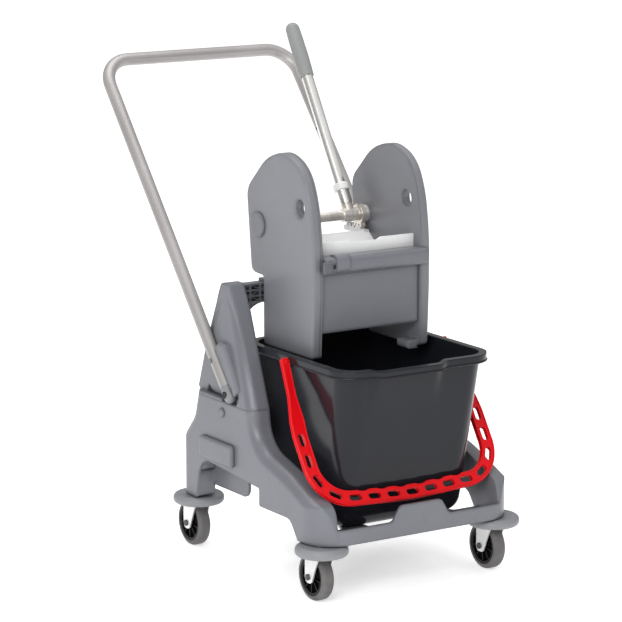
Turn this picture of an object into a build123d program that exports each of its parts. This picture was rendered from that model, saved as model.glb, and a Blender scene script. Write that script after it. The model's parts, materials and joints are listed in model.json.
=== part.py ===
from build123d import *
import math
import os

# A single mop bucket trolley: moulded base on four swivel castors, lift-out pail,
# lever wringer hung over the pail and a folding push handle.
# Millimetres, +Z up, front towards -Y, origin on the floor between the castor stems.

# Clearances
RUNNING_FIT = 0.06
LOOSE_FIT = 0.4
SEAT_GAP = 0.3

# Castors
WHEEL_RADIUS = 40.0
TYRE_WIDTH = 22.0
TYRE_DEPTH = 8.0
TYRE_SHOULDER = 6.0
HUB_RIM_DEPTH = 5.0
HUB_WEB = 7.0
HUB_BOSS_RADIUS = 10.0
AXLE_RADIUS = 4.0
AXLE_HEAD_RADIUS = 5.2
AXLE_HEAD_LENGTH = 2.5
FORK_SIDE_GAP = 2.5
FORK_SHEET = 2.5
FORK_TIP_RADIUS = 9.5
CASTOR_TRAIL = 16.0
CROWN_GAP = 2.0
CROWN_RADIUS = 22.0
STEM_RADIUS = 6.0
STEM_HEAD_RADIUS = 9.0
STEM_HEAD_LENGTH = 1.5
STEM_FLANGE_RADIUS = 14.0
STEM_FLANGE_LENGTH = 1.7
STEM_DEPTH = 53.0
STEM_SPACING_X = 342.0
STEM_SPACING_Y = 390.0
BUMPER_RADIUS = 44.0
BUMPER_THICKNESS = 17.0
BUMPER_ROOF = 5.0
BUMPER_WALL = 6.0
BUMPER_EDGE = 7.5

# Base frame
BASE_WIDTH = 390.0
BASE_FRONT = -230.0
BASE_REAR = 210.0
BASE_WALL = 4.0
LEG_WIDTH = 36.0
SPLIT_Z = 283.0
COLUMN_FRONT = -18.0
COLUMN_REAR = 165.0
BASE_FRONT_CORNER = 55.0
BASE_REAR_CORNER = 16.0
LEG_EDGE = 18.0
LEG_EDGE_RISE = 90.0
FOOT_BOSS_RADIUS = 12.0
ARCH_FRONT = -160.0
ARCH_SHOULDER = -137.0
ARCH_RISE = 31.0
STEP_Y = -42.0
STEP_RISE = 61.0
REAR_ARCH_RISE = 74.5
REAR_ARCH_ROUND = 38.0
REAR_FOOT_FRONT = 162.0
REAR_FOOT_LEAN = 13.0
BAR_DEPTH = 24.0
BAR_WALL = 5.0
BAR_RISE = 26.0
LIP_RISE = 52.0
LIP_TOP_HALF = 40.0
LIP_FOOT_HALF = 56.0
SHELF_THICKNESS = 5.0
SHELF_RISE = 8.0
LEDGE_REAR = -165.0
FINGER_REAR = -128.0
FINGER_INNER = 65.0
FINGER_OUTER = 97.0
SPINE_HALF = 28.0
SPINE_FRONT = 10.0
REAR_WALL_LOW = 72.0
REAR_WALL_HIGH = 132.0
SKIRT_RISE = 20.0
SKIRT_FRONT = 42.0
SKIRT_TOP = 90.0
COVER_LENGTH = 106.0
COVER_HEIGHT = 38.0
COVER_THICKNESS = 8.0
COVER_CENTRE_Y = 88.0
COVER_CENTRE_Z = 195.0
COVER_CORNER = 7.0
BOLT_HEAD_RADIUS = 8.5
BOLT_HEAD_LENGTH = 2.0
BOLT_RADIUS = 4.0
BOLT_Y = 75.6
BOLT_Z = 263.5
TONGUE_LENGTH = 76.0
TONGUE_DROP = 34.0
TONGUE_THICKNESS = 12.0

# Column arch
COLUMN_TOP = 481.0
COLUMN_TOP_CENTRE_Y = 84.0
COLUMN_TOP_DEPTH = 36.0
COLUMN_TOP_OUTER = 181.0
COLUMN_TOP_INNER = 153.0
COLUMN_EDGE = 18.0
COLUMN_SPINE = 8.0
CROSS_TOP = 473.0
CROSS_BOTTOM = 440.0
CROSS_FRONT = 92.0
CROSS_DEPTH = 20.0
CROSS_DROP = 52.0
CROSS_WEB = 3.0
CROSS_CELLS = 15
CROSS_ROWS = 3

# Push handle
HANDLE_RADIUS = 11.0
HANDLE_WALL = 1.6
HANDLE_WIDTH = 388.0
HANDLE_LENGTH = 671.0
HANDLE_BEND = 52.0
HANDLE_HOLE_REACH = 497.0
HANDLE_HOLE_RADIUS = 3.0
HANDLE_PIVOT_Y = 52.5
HANDLE_PIVOT_Z = 299.0
HANDLE_LEAN = 39.8
HANDLE_FOLD = 50.0
HANDLE_END_ABOVE = 15.0
HANDLE_END_BELOW = 15.5
HANDLE_SPIGOT = 30.0
PIVOT_RADIUS = 4.2
PIVOT_HEAD_RADIUS = 6.0
PIVOT_HEAD_LENGTH = 4.0
PIVOT_DEPTH = 15.0
RECESS_GAP = 0.6
POCKET_RADIUS = 27.5
CHEEK_OUTER = 198.0
CHEEK_EDGE = 4.0
CHEEK_LOW = -12.0
CHEEK_HIGH = 84.0
CHEEK_LOW_WIDTH = 32.0
CHEEK_HIGH_WIDTH = 44.0
SLIT_DEPTH = 9.0
BUTTON_RADIUS = 4.0
BUTTON_REACH = 66.0
BUTTON_PROUD = 2.6
BUTTON_DEPTH = 9.0

# Pail
RIM_Z = 381.0
RIM_HEIGHT = 12.0
RIM_OVERHANG = 10.0
PAIL_WALL = 3.0
PAIL_HALF_WIDTH = 141.0
PAIL_FRONT = -221.0
PAIL_REAR = 80.0
PAIL_CORNER = 38.0
PAIL_TAPER_SIDE = 16.0
PAIL_TAPER_FRONT = 43.0
PAIL_TAPER_REAR = 14.0
PAIL_FOOT_CORNER = 32.0
PAIL_FOOT_ROUND = 28.0

# Bail
BAIL_PIVOT_Y = -63.3
BAIL_PIVOT_Z = 371.0
BAIL_LOW = 152.0
BAIL_REST_GAP = 2.0
BAIL_WIDTH = 22.0
BAIL_THICKNESS = 7.0
BAIL_ARM_WIDTH = 11.0
BAIL_ARM_LENGTH = 104.0
BAIL_TAPER = 44.0
BAIL_HALF_SPAN = 174.0
BAIL_REACH = 252.0
BAIL_SHOULDER = 130.0
BAIL_BOW = 9.0
BAIL_BEND = 62.0
BAIL_GAP = 1.5
BAIL_PEG_RADIUS = 5.0
BAIL_BOSS_RADIUS = 9.5
LUG_PROUD = 0.6
BAIL_SLOTS = 15
BAIL_SLOT_PITCH = 36.7
BAIL_SLOT_LENGTH = 24.0
BAIL_SLOT_WIDTH = 10.5
BAIL_SCALLOPS = 6
BAIL_SCALLOP_DEPTH = 2.5
BAIL_SCALLOP_RADIUS = 26.0

# Wringer
PLATE_OUTER = 116.0
PLATE_THICKNESS = 19.0
PLATE_WALL = 3.0
PLATE_EDGE = 4.5
LINER_THICKNESS = 3.0
PLATE_BOTTOM = 372.0
PLATE_FRONT = -84.0
PLATE_REAR_LOW = 72.0
PLATE_SEAT_Z = 489.0
PLATE_OVERHANG = 110.0
PLATE_TOP = 707.0
PLATE_CREST_Y = 10.0
PLATE_REAR_CORNER_Z = 632.0
PLATE_FOOT_REACH = 20.0
PLATE_FOOT_DEPTH = 34.0
PLATE_FOOT_HEIGHT = 14.0
PLATE_FOOT_DROP = 4.0
PLATE_FOOT_ROUND = 5.0
HOLE_Y = -40.5
HOLE_Z = 618.0
HOLE_RADIUS = 14.5
HOLE_CHAMFER = 3.5
BOSS_WALL = 5.0
SHAFT_Y = 84.5
SHAFT_Z = 574.5
SHAFT_RADIUS = 8.5
SHAFT_END_GAP = 2.0
BUSH_WALL = 4.0
BUSH_FLANGE_RADIUS = 15.5
BUSH_FLANGE_LENGTH = 4.0
CAP_RADIUS = 21.5
CAP_THICKNESS = 5.0
RAIL_BOTTOM = 512.0
RAIL_HEIGHT = 29.0
RAIL_FRONT = -94.0
RAIL_DEPTH = 28.0
RAIL_WALL = 3.5
RAIL_EDGE = 9.0
RAIL_END = 9.0
RAIL_GRIP_START = 20.0
RAIL_GRIP_LENGTH = 26.0
RAIL_GRIP_PROUD = 3.0
LATCH_LENGTH = 17.0
LATCH_OVERLAP = 7.0
LATCH_PROUD = 5.0
LATCH_STEM = 6.0
LATCH_TRAVEL = 9.0
LATCH_RIBS = 5
LATCH_RIB_RADIUS = 1.2
PANEL_BOTTOM = 414.0
PANEL_THICKNESS = 4.0
PANEL_FRONT = -78.0
SIEVE_FRONT = -62.0
SIEVE_THICKNESS = 4.0
SIEVE_TOP = 561.0
SIEVE_NOTCH = 4.0
SIEVE_NOTCH_HALF = 24.0
SIEVE_HOLE_RADIUS = 3.2
SIEVE_COLUMNS = 11
SIEVE_ROWS = 6
SIEVE_PITCH = 14.0
FLOOR_BOTTOM = 416.0
FLOOR_THICKNESS = 4.0
FLOOR_REAR = 40.0
FLOOR_SLOTS = 9
FLOOR_SLOT_WIDTH = 6.0
HANGER_WALL = 4.0
HANGER_DROP = 20.0
SCREW_HEAD_RADIUS = 4.0
SCREW_HEAD_LENGTH = 1.8
SCREW_RADIUS = 1.8
SCREW_DEPTH = 8.0

# Press and lever
LEVER_X = 66.0
LEVER_LEAN = 31.1
LEVER_TRAVEL = 80.0
TEE_RADIUS = 11.5
TEE_HALF_LENGTH = 15.0
TEE_SPIGOT = 58.0
LEVER_TUBE_RADIUS = 10.0
LEVER_TUBE_WALL = 1.5
FERRULE_START = 19.0
FERRULE_LENGTH = 25.0
FERRULE_WALL = 1.4
COLLAR_LENGTH = 13.0
COLLAR_WALL = 3.2
LEVER_LENGTH = 362.0
GRIP_LENGTH = 102.0
GRIP_RADIUS = 13.0
GRIP_NECK = 12.0
GEAR_MODULE = 3.0
GEAR_TEETH = 14
GEAR_PRESSURE_ANGLE = 20.0
GEAR_BACKLASH = 0.5
GEAR_WIDTH = 9.0
GEAR_INSET = 6.0
JAW_TOP_Y = 66.0
JAW_FACE_Y = -18.0
JAW_SLOPE = 40.0
JAW_THICKNESS = 5.0
JAW_SIDE_GAP = 6.0
JAW_FLOOR_GAP = 4.0
RACK_BODY = 8.0
GUIDE_PIN_RADIUS = 3.5
GUIDE_LOW_Z = 440.0
GUIDE_HIGH_Z = 512.0

# Places worked out from the sizes above
HUB_RADIUS = WHEEL_RADIUS - TYRE_DEPTH
FORK_INNER = TYRE_WIDTH / 2 + FORK_SIDE_GAP
FORK_OUTER = FORK_INNER + FORK_SHEET
CROWN_BOTTOM = 2 * WHEEL_RADIUS + CROWN_GAP
CROWN_TOP = CROWN_BOTTOM + FORK_SHEET
BUMPER_TOP = CROWN_TOP + SEAT_GAP + STEM_RADIUS + BUMPER_ROOF
BUMPER_BOTTOM = BUMPER_TOP - BUMPER_THICKNESS
FOOT_Z = BUMPER_TOP + SEAT_GAP + STEM_FLANGE_LENGTH
CORNERS = {
    "front_left": (-STEM_SPACING_X / 2, -STEM_SPACING_Y / 2),
    "front_right": (STEM_SPACING_X / 2, -STEM_SPACING_Y / 2),
    "rear_left": (-STEM_SPACING_X / 2, STEM_SPACING_Y / 2),
    "rear_right": (STEM_SPACING_X / 2, STEM_SPACING_Y / 2),
}
BASE_OUTER = BASE_WIDTH / 2
BASE_INNER = BASE_OUTER - LEG_WIDTH
SHELF_TOP = FOOT_Z + SHELF_RISE
PAIL_FOOT_Z = SHELF_TOP + SEAT_GAP
HANDLE_X = HANDLE_WIDTH / 2
RECESS_X = HANDLE_X - HANDLE_RADIUS - RECESS_GAP
LINER_INNER = PLATE_OUTER - PLATE_THICKNESS
LINER_OUTER = LINER_INNER + LINER_THICKNESS
BUSH_RADIUS = SHAFT_RADIUS + RUNNING_FIT + BUSH_WALL
SHAFT_HALF = PLATE_OUTER - SHAFT_END_GAP
RAIL_TOP = RAIL_BOTTOM + RAIL_HEIGHT
RAIL_REAR = RAIL_FRONT + RAIL_DEPTH
GEAR_RADIUS = GEAR_MODULE * GEAR_TEETH / 2
PRESS_TRAVEL = GEAR_RADIUS * math.radians(LEVER_TRAVEL)
RACK_PITCH_Z = SHAFT_Z - GEAR_RADIUS
GEAR_OUTER_X = LINER_INNER - GEAR_INSET
GEAR_INNER_X = GEAR_OUTER_X - GEAR_WIDTH
JAW_HALF = LINER_INNER - JAW_SIDE_GAP
JAW_TOP_Z = RACK_PITCH_Z - 1.25 * GEAR_MODULE
JAW_BOTTOM = FLOOR_BOTTOM + FLOOR_THICKNESS + JAW_FLOOR_GAP
BAIL_PIVOT_X = PAIL_HALF_WIDTH + RIM_OVERHANG + BAIL_GAP + BAIL_ARM_WIDTH / 2


def outline(points):
    """A closed face through (x, y, corner radius) points."""
    corners = [(x, y) for x, y, _ in points]
    radii = [radius for _, _, radius in points]
    return make_face(FilletPolyline(*corners, radius=radii, close=True))


def along_x(face, x0, x1):
    """A (Y, Z) face made solid between two X planes."""
    return extrude(Plane.YZ.offset(x0) * face, x1 - x0)


def along_y(face, y0, y1):
    """An (X, Z) face made solid between two Y planes."""
    plane = Plane(origin=(0, y1, 0), x_dir=(1, 0, 0), z_dir=(0, -1, 0))
    return extrude(plane * face, y1 - y0)


def along_z(face, z0, z1):
    """An (X, Y) face made solid between two Z planes."""
    return extrude(Plane.XY.offset(z0) * face, z1 - z0)


def block(x0, x1, y0, y1, z0, z1):
    """A box between two corners."""
    centre = Pos((x0 + x1) / 2, (y0 + y1) / 2, (z0 + z1) / 2)
    return centre * Box(x1 - x0, y1 - y0, z1 - z0)


def rod_x(y, z, radius, x0, x1):
    """A round bar along X."""
    return Pos((x0 + x1) / 2, y, z) * Rot(0, 90, 0) * Cylinder(radius, x1 - x0)


def rod_y(x, z, radius, y0, y1):
    """A round bar along Y."""
    return Pos(x, (y0 + y1) / 2, z) * Rot(90, 0, 0) * Cylinder(radius, y1 - y0)


def rod_z(x, y, radius, z0, z1):
    """A round bar along Z."""
    return Pos(x, y, (z0 + z1) / 2) * Cylinder(radius, z1 - z0)


def other_side(shape):
    """The mirror image on the +X side of a piece made at -X."""
    return mirror(shape, about=Plane.YZ)


def save(shape, name):
    """Write one piece under its own name."""
    export_step(shape, f"parts/{name}.step")


# Castors


def tyre():
    ring = Cylinder(WHEEL_RADIUS, TYRE_WIDTH) - Cylinder(HUB_RADIUS, TYRE_WIDTH)
    tread = ring.edges().filter_by(GeomType.CIRCLE).group_by(SortBy.RADIUS)[-1]
    return Rot(0, 90, 0) * fillet(tread, TYRE_SHOULDER)


def hub():
    half_rim = TYRE_WIDTH / 2 - 1.0
    half_boss = FORK_INNER - SEAT_GAP
    rim_inner = HUB_RADIUS - HUB_RIM_DEPTH
    half = [
        (AXLE_RADIUS + RUNNING_FIT, 0, 0),
        (AXLE_RADIUS + RUNNING_FIT, half_boss, 0),
        (HUB_BOSS_RADIUS, half_boss, 0),
        (HUB_BOSS_RADIUS, HUB_WEB / 2, 2),
        (rim_inner, HUB_WEB / 2, 2),
        (rim_inner, half_rim, 0),
        (HUB_RADIUS, half_rim, 0),
        (HUB_RADIUS, 0, 0),
    ]
    upper = revolve(Plane.XZ * outline(half), Axis.Z)
    wheel_centre = upper + mirror(upper, about=Plane.XY)
    return Rot(0, 90, 0) * wheel_centre


def axle():
    rod = rod_x(0, 0, AXLE_RADIUS, -FORK_OUTER, FORK_OUTER)
    head = rod_x(0, 0, AXLE_HEAD_RADIUS, FORK_OUTER, FORK_OUTER + AXLE_HEAD_LENGTH)
    return rod + head + other_side(head)


def fork():
    """Two sheet legs and a crown, with the axle at the origin."""
    crown_low = CROWN_BOTTOM - WHEEL_RADIUS
    crown_high = CROWN_TOP - WHEEL_RADIUS
    crown_front = -CASTOR_TRAIL - CROWN_RADIUS * 0.82
    leg = outline(
        [
            (FORK_TIP_RADIUS, -FORK_TIP_RADIUS, FORK_TIP_RADIUS * 0.95),
            (FORK_TIP_RADIUS, crown_high, 0),
            (crown_front, crown_high, 0),
            (crown_front + 6, crown_high - 11, 6),
            (-FORK_TIP_RADIUS, -FORK_TIP_RADIUS, FORK_TIP_RADIUS * 0.9),
        ]
    )
    side = along_x(leg, FORK_INNER, FORK_OUTER)
    crown = block(-FORK_OUTER, FORK_OUTER, crown_front, FORK_TIP_RADIUS, crown_low, crown_high)
    crown += rod_z(0, -CASTOR_TRAIL, CROWN_RADIUS, crown_low, crown_high)
    body = side + other_side(side) + crown
    body -= rod_x(0, 0, AXLE_RADIUS, -FORK_OUTER, FORK_OUTER)
    return body - rod_z(0, -CASTOR_TRAIL, STEM_RADIUS + RUNNING_FIT, crown_low, crown_high)


def bumper(x, y):
    disc = rod_z(x, y, BUMPER_RADIUS, BUMPER_BOTTOM, BUMPER_TOP)
    rim = disc.edges().filter_by(GeomType.CIRCLE)
    disc = fillet(rim, BUMPER_EDGE)
    disc -= rod_z(x, y, BUMPER_RADIUS - BUMPER_WALL, BUMPER_BOTTOM, BUMPER_TOP - BUMPER_ROOF)
    return disc - rod_z(x, y, STEM_RADIUS + LOOSE_FIT, BUMPER_BOTTOM, BUMPER_TOP)


def castor_stem(x, y):
    head_top = CROWN_BOTTOM - SEAT_GAP
    stem = rod_z(x, y, STEM_RADIUS, head_top - STEM_HEAD_LENGTH, FOOT_Z + STEM_DEPTH)
    stem += rod_z(x, y, STEM_HEAD_RADIUS, head_top - STEM_HEAD_LENGTH, head_top)
    return stem + rod_z(x, y, STEM_FLANGE_RADIUS, FOOT_Z - STEM_FLANGE_LENGTH, FOOT_Z)


# Base frame


def leg_face():
    """Side view of a base leg: front foot, wheel arch, rear leg and the rise to the column."""
    return outline(
        [
            (BASE_FRONT, FOOT_Z, 0),
            (ARCH_FRONT, FOOT_Z, 4),
            (ARCH_SHOULDER, FOOT_Z + ARCH_RISE, 22),
            (STEP_Y, FOOT_Z + ARCH_RISE, 4),
            (STEP_Y, FOOT_Z + STEP_RISE, 4),
            (REAR_FOOT_FRONT - REAR_FOOT_LEAN, FOOT_Z + REAR_ARCH_RISE, REAR_ARCH_ROUND),
            (REAR_FOOT_FRONT, FOOT_Z, 4),
            (BASE_REAR, FOOT_Z, 0),
            (BASE_REAR, FOOT_Z + 106, 20),
            (COLUMN_REAR + 12, SPLIT_Z - 42, 40),
            (COLUMN_REAR, SPLIT_Z, 0),
            (COLUMN_FRONT, SPLIT_Z, 0),
            (COLUMN_FRONT - 7, SPLIT_Z - 57, 62),
            (-119, SPLIT_Z - 84, 120),
            (BASE_FRONT + 12, FOOT_Z + 61, 24),
        ]
    )


def base_plan():
    """Top view of the whole base with its rounded corners."""
    return outline(
        [
            (-BASE_OUTER, BASE_FRONT, BASE_FRONT_CORNER),
            (BASE_OUTER, BASE_FRONT, BASE_FRONT_CORNER),
            (BASE_OUTER, BASE_REAR, BASE_REAR_CORNER),
            (-BASE_OUTER, BASE_REAR, BASE_REAR_CORNER),
        ]
    )


def rounded_leg(side, inset):
    """A left leg as a full solid, drawn in by an inset, with the outer top edges well rounded."""
    outer = -BASE_OUTER + inset
    solid = along_x(side, outer, -BASE_INNER - inset)
    outer_top = [
        edge
        for edge in solid.edges()
        if abs(edge.center().X - outer) < 0.01
        and edge.center().Z > FOOT_Z + LEG_EDGE_RISE
        and edge.center().Z < SPLIT_Z - 2 * BASE_WALL
    ]
    return fillet(outer_top, LEG_EDGE - inset)


def base_leg():
    """The left leg: a hollow channel, open below, with bosses for the castor stems."""
    side = leg_face()
    solid = rounded_leg(side, 0)
    hollow = rounded_leg(offset(side, -BASE_WALL), BASE_WALL)
    hollow += Pos(0, 0, -2 * BASE_WALL) * hollow
    hollow -= block(-BASE_OUTER, -BASE_INNER, BASE_FRONT, BASE_REAR, SPLIT_Z - BASE_WALL, SPLIT_Z)
    inner_plan = offset(base_plan(), -BASE_WALL)
    solid -= hollow & along_z(inner_plan, FOOT_Z - 2 * BASE_WALL, SPLIT_Z)
    skirt = outline(
        [
            (SKIRT_FRONT, FOOT_Z + SKIRT_RISE, 16),
            (REAR_FOOT_FRONT, FOOT_Z + SKIRT_RISE, 0),
            (REAR_FOOT_FRONT, FOOT_Z + SKIRT_TOP, 0),
            (SKIRT_FRONT, FOOT_Z + SKIRT_TOP, 0),
        ]
    )
    return solid + along_x(skirt, -BASE_INNER - BASE_WALL, -BASE_INNER)


def base_frame():
    leg = base_leg()
    plan = along_z(base_plan(), FOOT_Z - 1, SPLIT_Z + 1)
    frame = leg + other_side(leg)
    bar_inner = BASE_INNER + BASE_WALL
    bar = outline(
        [
            (-bar_inner, FOOT_Z, 0),
            (bar_inner, FOOT_Z, 0),
            (bar_inner, FOOT_Z + BAR_RISE, 0),
            (LIP_FOOT_HALF, FOOT_Z + BAR_RISE, 10),
            (LIP_TOP_HALF, FOOT_Z + LIP_RISE, 10),
            (-LIP_TOP_HALF, FOOT_Z + LIP_RISE, 10),
            (-LIP_FOOT_HALF, FOOT_Z + BAR_RISE, 10),
            (-bar_inner, FOOT_Z + BAR_RISE, 0),
        ]
    )
    frame += along_y(bar, BASE_FRONT, BASE_FRONT + BAR_WALL)
    frame += block(-bar_inner, bar_inner, BASE_FRONT, BASE_FRONT + BAR_DEPTH, FOOT_Z, FOOT_Z + BAR_WALL)
    gusset = outline(
        [
            (-bar_inner, BASE_FRONT + BAR_WALL, 0),
            (-FINGER_INNER, BASE_FRONT + BAR_WALL, 0),
            (-FINGER_INNER, FINGER_REAR, 8),
            (-FINGER_OUTER, FINGER_REAR, 8),
            (-FINGER_OUTER - 14, LEDGE_REAR, 8),
            (-bar_inner, LEDGE_REAR, 0),
        ]
    )
    ledge = along_z(gusset, SHELF_TOP - SHELF_THICKNESS, SHELF_TOP)
    frame += ledge + other_side(ledge)
    rear_wall = outline(
        [
            (-bar_inner, FOOT_Z + REAR_WALL_LOW, 0),
            (-2 * SPINE_HALF, FOOT_Z + REAR_WALL_LOW, 20),
            (-SPINE_HALF, FOOT_Z, 0),
            (SPINE_HALF, FOOT_Z, 0),
            (2 * SPINE_HALF, FOOT_Z + REAR_WALL_LOW, 20),
            (bar_inner, FOOT_Z + REAR_WALL_LOW, 0),
            (bar_inner, FOOT_Z + REAR_WALL_HIGH, 0),
            (-bar_inner, FOOT_Z + REAR_WALL_HIGH, 0),
        ]
    )
    frame += along_y(rear_wall, COLUMN_REAR - BAR_WALL, COLUMN_REAR)
    frame += block(-SPINE_HALF, SPINE_HALF, SPINE_FRONT, COLUMN_REAR, FOOT_Z, SHELF_TOP)
    frame = frame & plan
    for x, y in CORNERS.values():
        frame += rod_z(x, y, FOOT_BOSS_RADIUS, FOOT_Z, FOOT_Z + STEM_DEPTH)
        frame -= rod_z(x, y, STEM_RADIUS, FOOT_Z, FOOT_Z + STEM_DEPTH)
    slot = tongue(LOOSE_FIT)
    frame -= slot + other_side(slot)
    hole = rod_x(BOLT_Y, BOLT_Z, BOLT_RADIUS + SEAT_GAP, -BASE_OUTER, -BASE_OUTER + 2 * BASE_WALL)
    return frame - hole - other_side(hole)


def tongue(gap):
    """The tab of the column that drops into a base leg, grown by a gap for its slot."""
    centre_x = -(BASE_OUTER + BASE_INNER) / 2
    half = TONGUE_THICKNESS / 2 + gap
    return block(
        centre_x - half,
        centre_x + half,
        BOLT_Y - TONGUE_LENGTH / 2 - gap,
        BOLT_Y + TONGUE_LENGTH / 2 + gap,
        SPLIT_Z - TONGUE_DROP - gap,
        SPLIT_Z,
    )


def side_cover():
    face = RectangleRounded(COVER_LENGTH, COVER_HEIGHT, COVER_CORNER)
    face = Pos(COVER_CENTRE_Y, COVER_CENTRE_Z) * face
    cover = along_x(face, -BASE_OUTER - COVER_THICKNESS, -BASE_OUTER)
    rim = cover.faces().sort_by(Axis.X)[0].edges()
    return fillet(rim, COVER_THICKNESS / 2)


def column_bolt():
    head = rod_x(BOLT_Y, BOLT_Z, BOLT_HEAD_RADIUS, -BASE_OUTER - BOLT_HEAD_LENGTH, -BASE_OUTER)
    tip = -(BASE_OUTER + BASE_INNER) / 2 + TONGUE_THICKNESS / 2
    return head + rod_x(BOLT_Y, BOLT_Z, BOLT_RADIUS, -BASE_OUTER, tip)


# Column arch


def handle_plane():
    """The plane of the bent handle: X across, Y up along the legs from the pivot axis."""
    lean = math.radians(HANDLE_LEAN)
    return Plane(
        origin=(0, HANDLE_PIVOT_Y, HANDLE_PIVOT_Z),
        x_dir=(1, 0, 0),
        z_dir=(0, -math.cos(lean), math.sin(lean)),
    )


def handle_point(along, ahead, radius):
    """An outline point given along the handle leg from its pivot and ahead of it."""
    lean = math.radians(HANDLE_LEAN)
    y = HANDLE_PIVOT_Y + along * math.sin(lean) - ahead * math.cos(lean)
    z = HANDLE_PIVOT_Z + along * math.cos(lean) + ahead * math.sin(lean)
    return (y, z, radius)


def column_side(rear_points):
    """Side view of a column leg, with the lower rear corner given."""
    top_front = COLUMN_TOP_CENTRE_Y - COLUMN_TOP_DEPTH / 2
    top_rear = COLUMN_TOP_CENTRE_Y + COLUMN_TOP_DEPTH / 2
    return outline(
        [
            (COLUMN_FRONT, SPLIT_Z, 0),
            *rear_points,
            (top_rear + 9, COLUMN_TOP - 34, 40),
            (top_rear - 4, COLUMN_TOP, 10),
            (top_front + 6, COLUMN_TOP, 12),
            (top_front - 16, COLUMN_TOP - 40, 60),
        ]
    )


def column_leg():
    """The left leg: a rounded outer body and an inner web that stands out at the rear."""
    outer_rear = [(COLUMN_REAR, SPLIT_Z, 0), (COLUMN_REAR - 24, SPLIT_Z + 78, 90)]
    inner_rear = [
        (COLUMN_REAR, SPLIT_Z, 0),
        (COLUMN_REAR + COLUMN_SPINE, SPLIT_Z + COLUMN_SPINE, 4),
        (COLUMN_REAR - 24 + COLUMN_SPINE, SPLIT_Z + 78, 90),
    ]
    front_view = outline(
        [
            (-BASE_OUTER, SPLIT_Z, 0),
            (-BASE_INNER, SPLIT_Z, 0),
            (-COLUMN_TOP_INNER, COLUMN_TOP + 1, 0),
            (-COLUMN_TOP_OUTER, COLUMN_TOP + 1, 0),
        ]
    )
    limits = along_y(front_view, COLUMN_FRONT - 1, COLUMN_REAR + 2 * COLUMN_SPINE)
    body = along_x(column_side(outer_rear), -BASE_OUTER, -COLUMN_TOP_INNER) & limits
    rims = [
        edge
        for edge in body.edges()
        if edge.center().Z > SPLIT_Z + 5 and edge.center().X < -COLUMN_TOP_OUTER + 1
    ]
    body = fillet(rims, COLUMN_EDGE)
    pocket = rod_x(HANDLE_PIVOT_Y, HANDLE_PIVOT_Z, POCKET_RADIUS, -BASE_OUTER, -RECESS_X)
    pocket &= block(-BASE_OUTER, -RECESS_X, COLUMN_FRONT, COLUMN_REAR, SPLIT_Z, COLUMN_TOP)
    body = body - pocket + handle_cheek() - handle_recess()
    web = along_x(column_side(inner_rear), -RECESS_X, -COLUMN_TOP_INNER) & limits
    return body + web - recess_slit()


def handle_recess():
    """The room in the outer face that the handle leg lies in and folds back through."""
    clear = HANDLE_RADIUS + RECESS_GAP
    end_clear = HANDLE_END_BELOW + RECESS_GAP
    deep = BASE_OUTER + 20
    far = 2 * COLUMN_REAR
    lean = math.radians(HANDLE_LEAN)
    swing = math.radians(HANDLE_LEAN + HANDLE_FOLD)
    start = (HANDLE_PIVOT_Y + far * math.sin(lean), HANDLE_PIVOT_Z + far * math.cos(lean))
    end = (HANDLE_PIVOT_Y + far * math.sin(swing), HANDLE_PIVOT_Z + far * math.cos(swing))
    fan = make_face(Polyline((HANDLE_PIVOT_Y, HANDLE_PIVOT_Z), start, end, close=True))
    sweep_area = offset(fan, clear)
    pocket = along_x(sweep_area, -deep, -RECESS_X)
    pocket += rod_x(HANDLE_PIVOT_Y, HANDLE_PIVOT_Z, end_clear, -deep, -RECESS_X)
    return pocket & block(-deep, -RECESS_X, -far, far, SPLIT_Z, 2 * COLUMN_TOP)


def handle_cheek():
    """The raised cheek in front of the handle leg that it leans on when upright."""
    near = HANDLE_RADIUS + RECESS_GAP
    face = outline(
        [
            handle_point(CHEEK_LOW, near, 0),
            handle_point(CHEEK_LOW, CHEEK_LOW_WIDTH, 6),
            handle_point(CHEEK_HIGH - 14, CHEEK_HIGH_WIDTH, 16),
            handle_point(CHEEK_HIGH, CHEEK_LOW_WIDTH, 12),
            handle_point(CHEEK_HIGH, near, 0),
        ]
    )
    cheek = along_x(face, -CHEEK_OUTER, -RECESS_X)
    return fillet(cheek.faces().sort_by(Axis.X)[0].edges(), CHEEK_EDGE)


def recess_slit():
    """The dark drain slit at the foot of the handle recess."""
    face = make_face(
        Polyline(
            (HANDLE_PIVOT_Y + 22, SPLIT_Z),
            (HANDLE_PIVOT_Y + 93, SPLIT_Z),
            (HANDLE_PIVOT_Y + 86, SPLIT_Z + 17),
            (HANDLE_PIVOT_Y + 73, SPLIT_Z + 6.5),
            (HANDLE_PIVOT_Y + 43, SPLIT_Z + 5),
            close=True,
        )
    )
    return along_x(face, -RECESS_X, -RECESS_X + SLIT_DEPTH)


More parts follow.
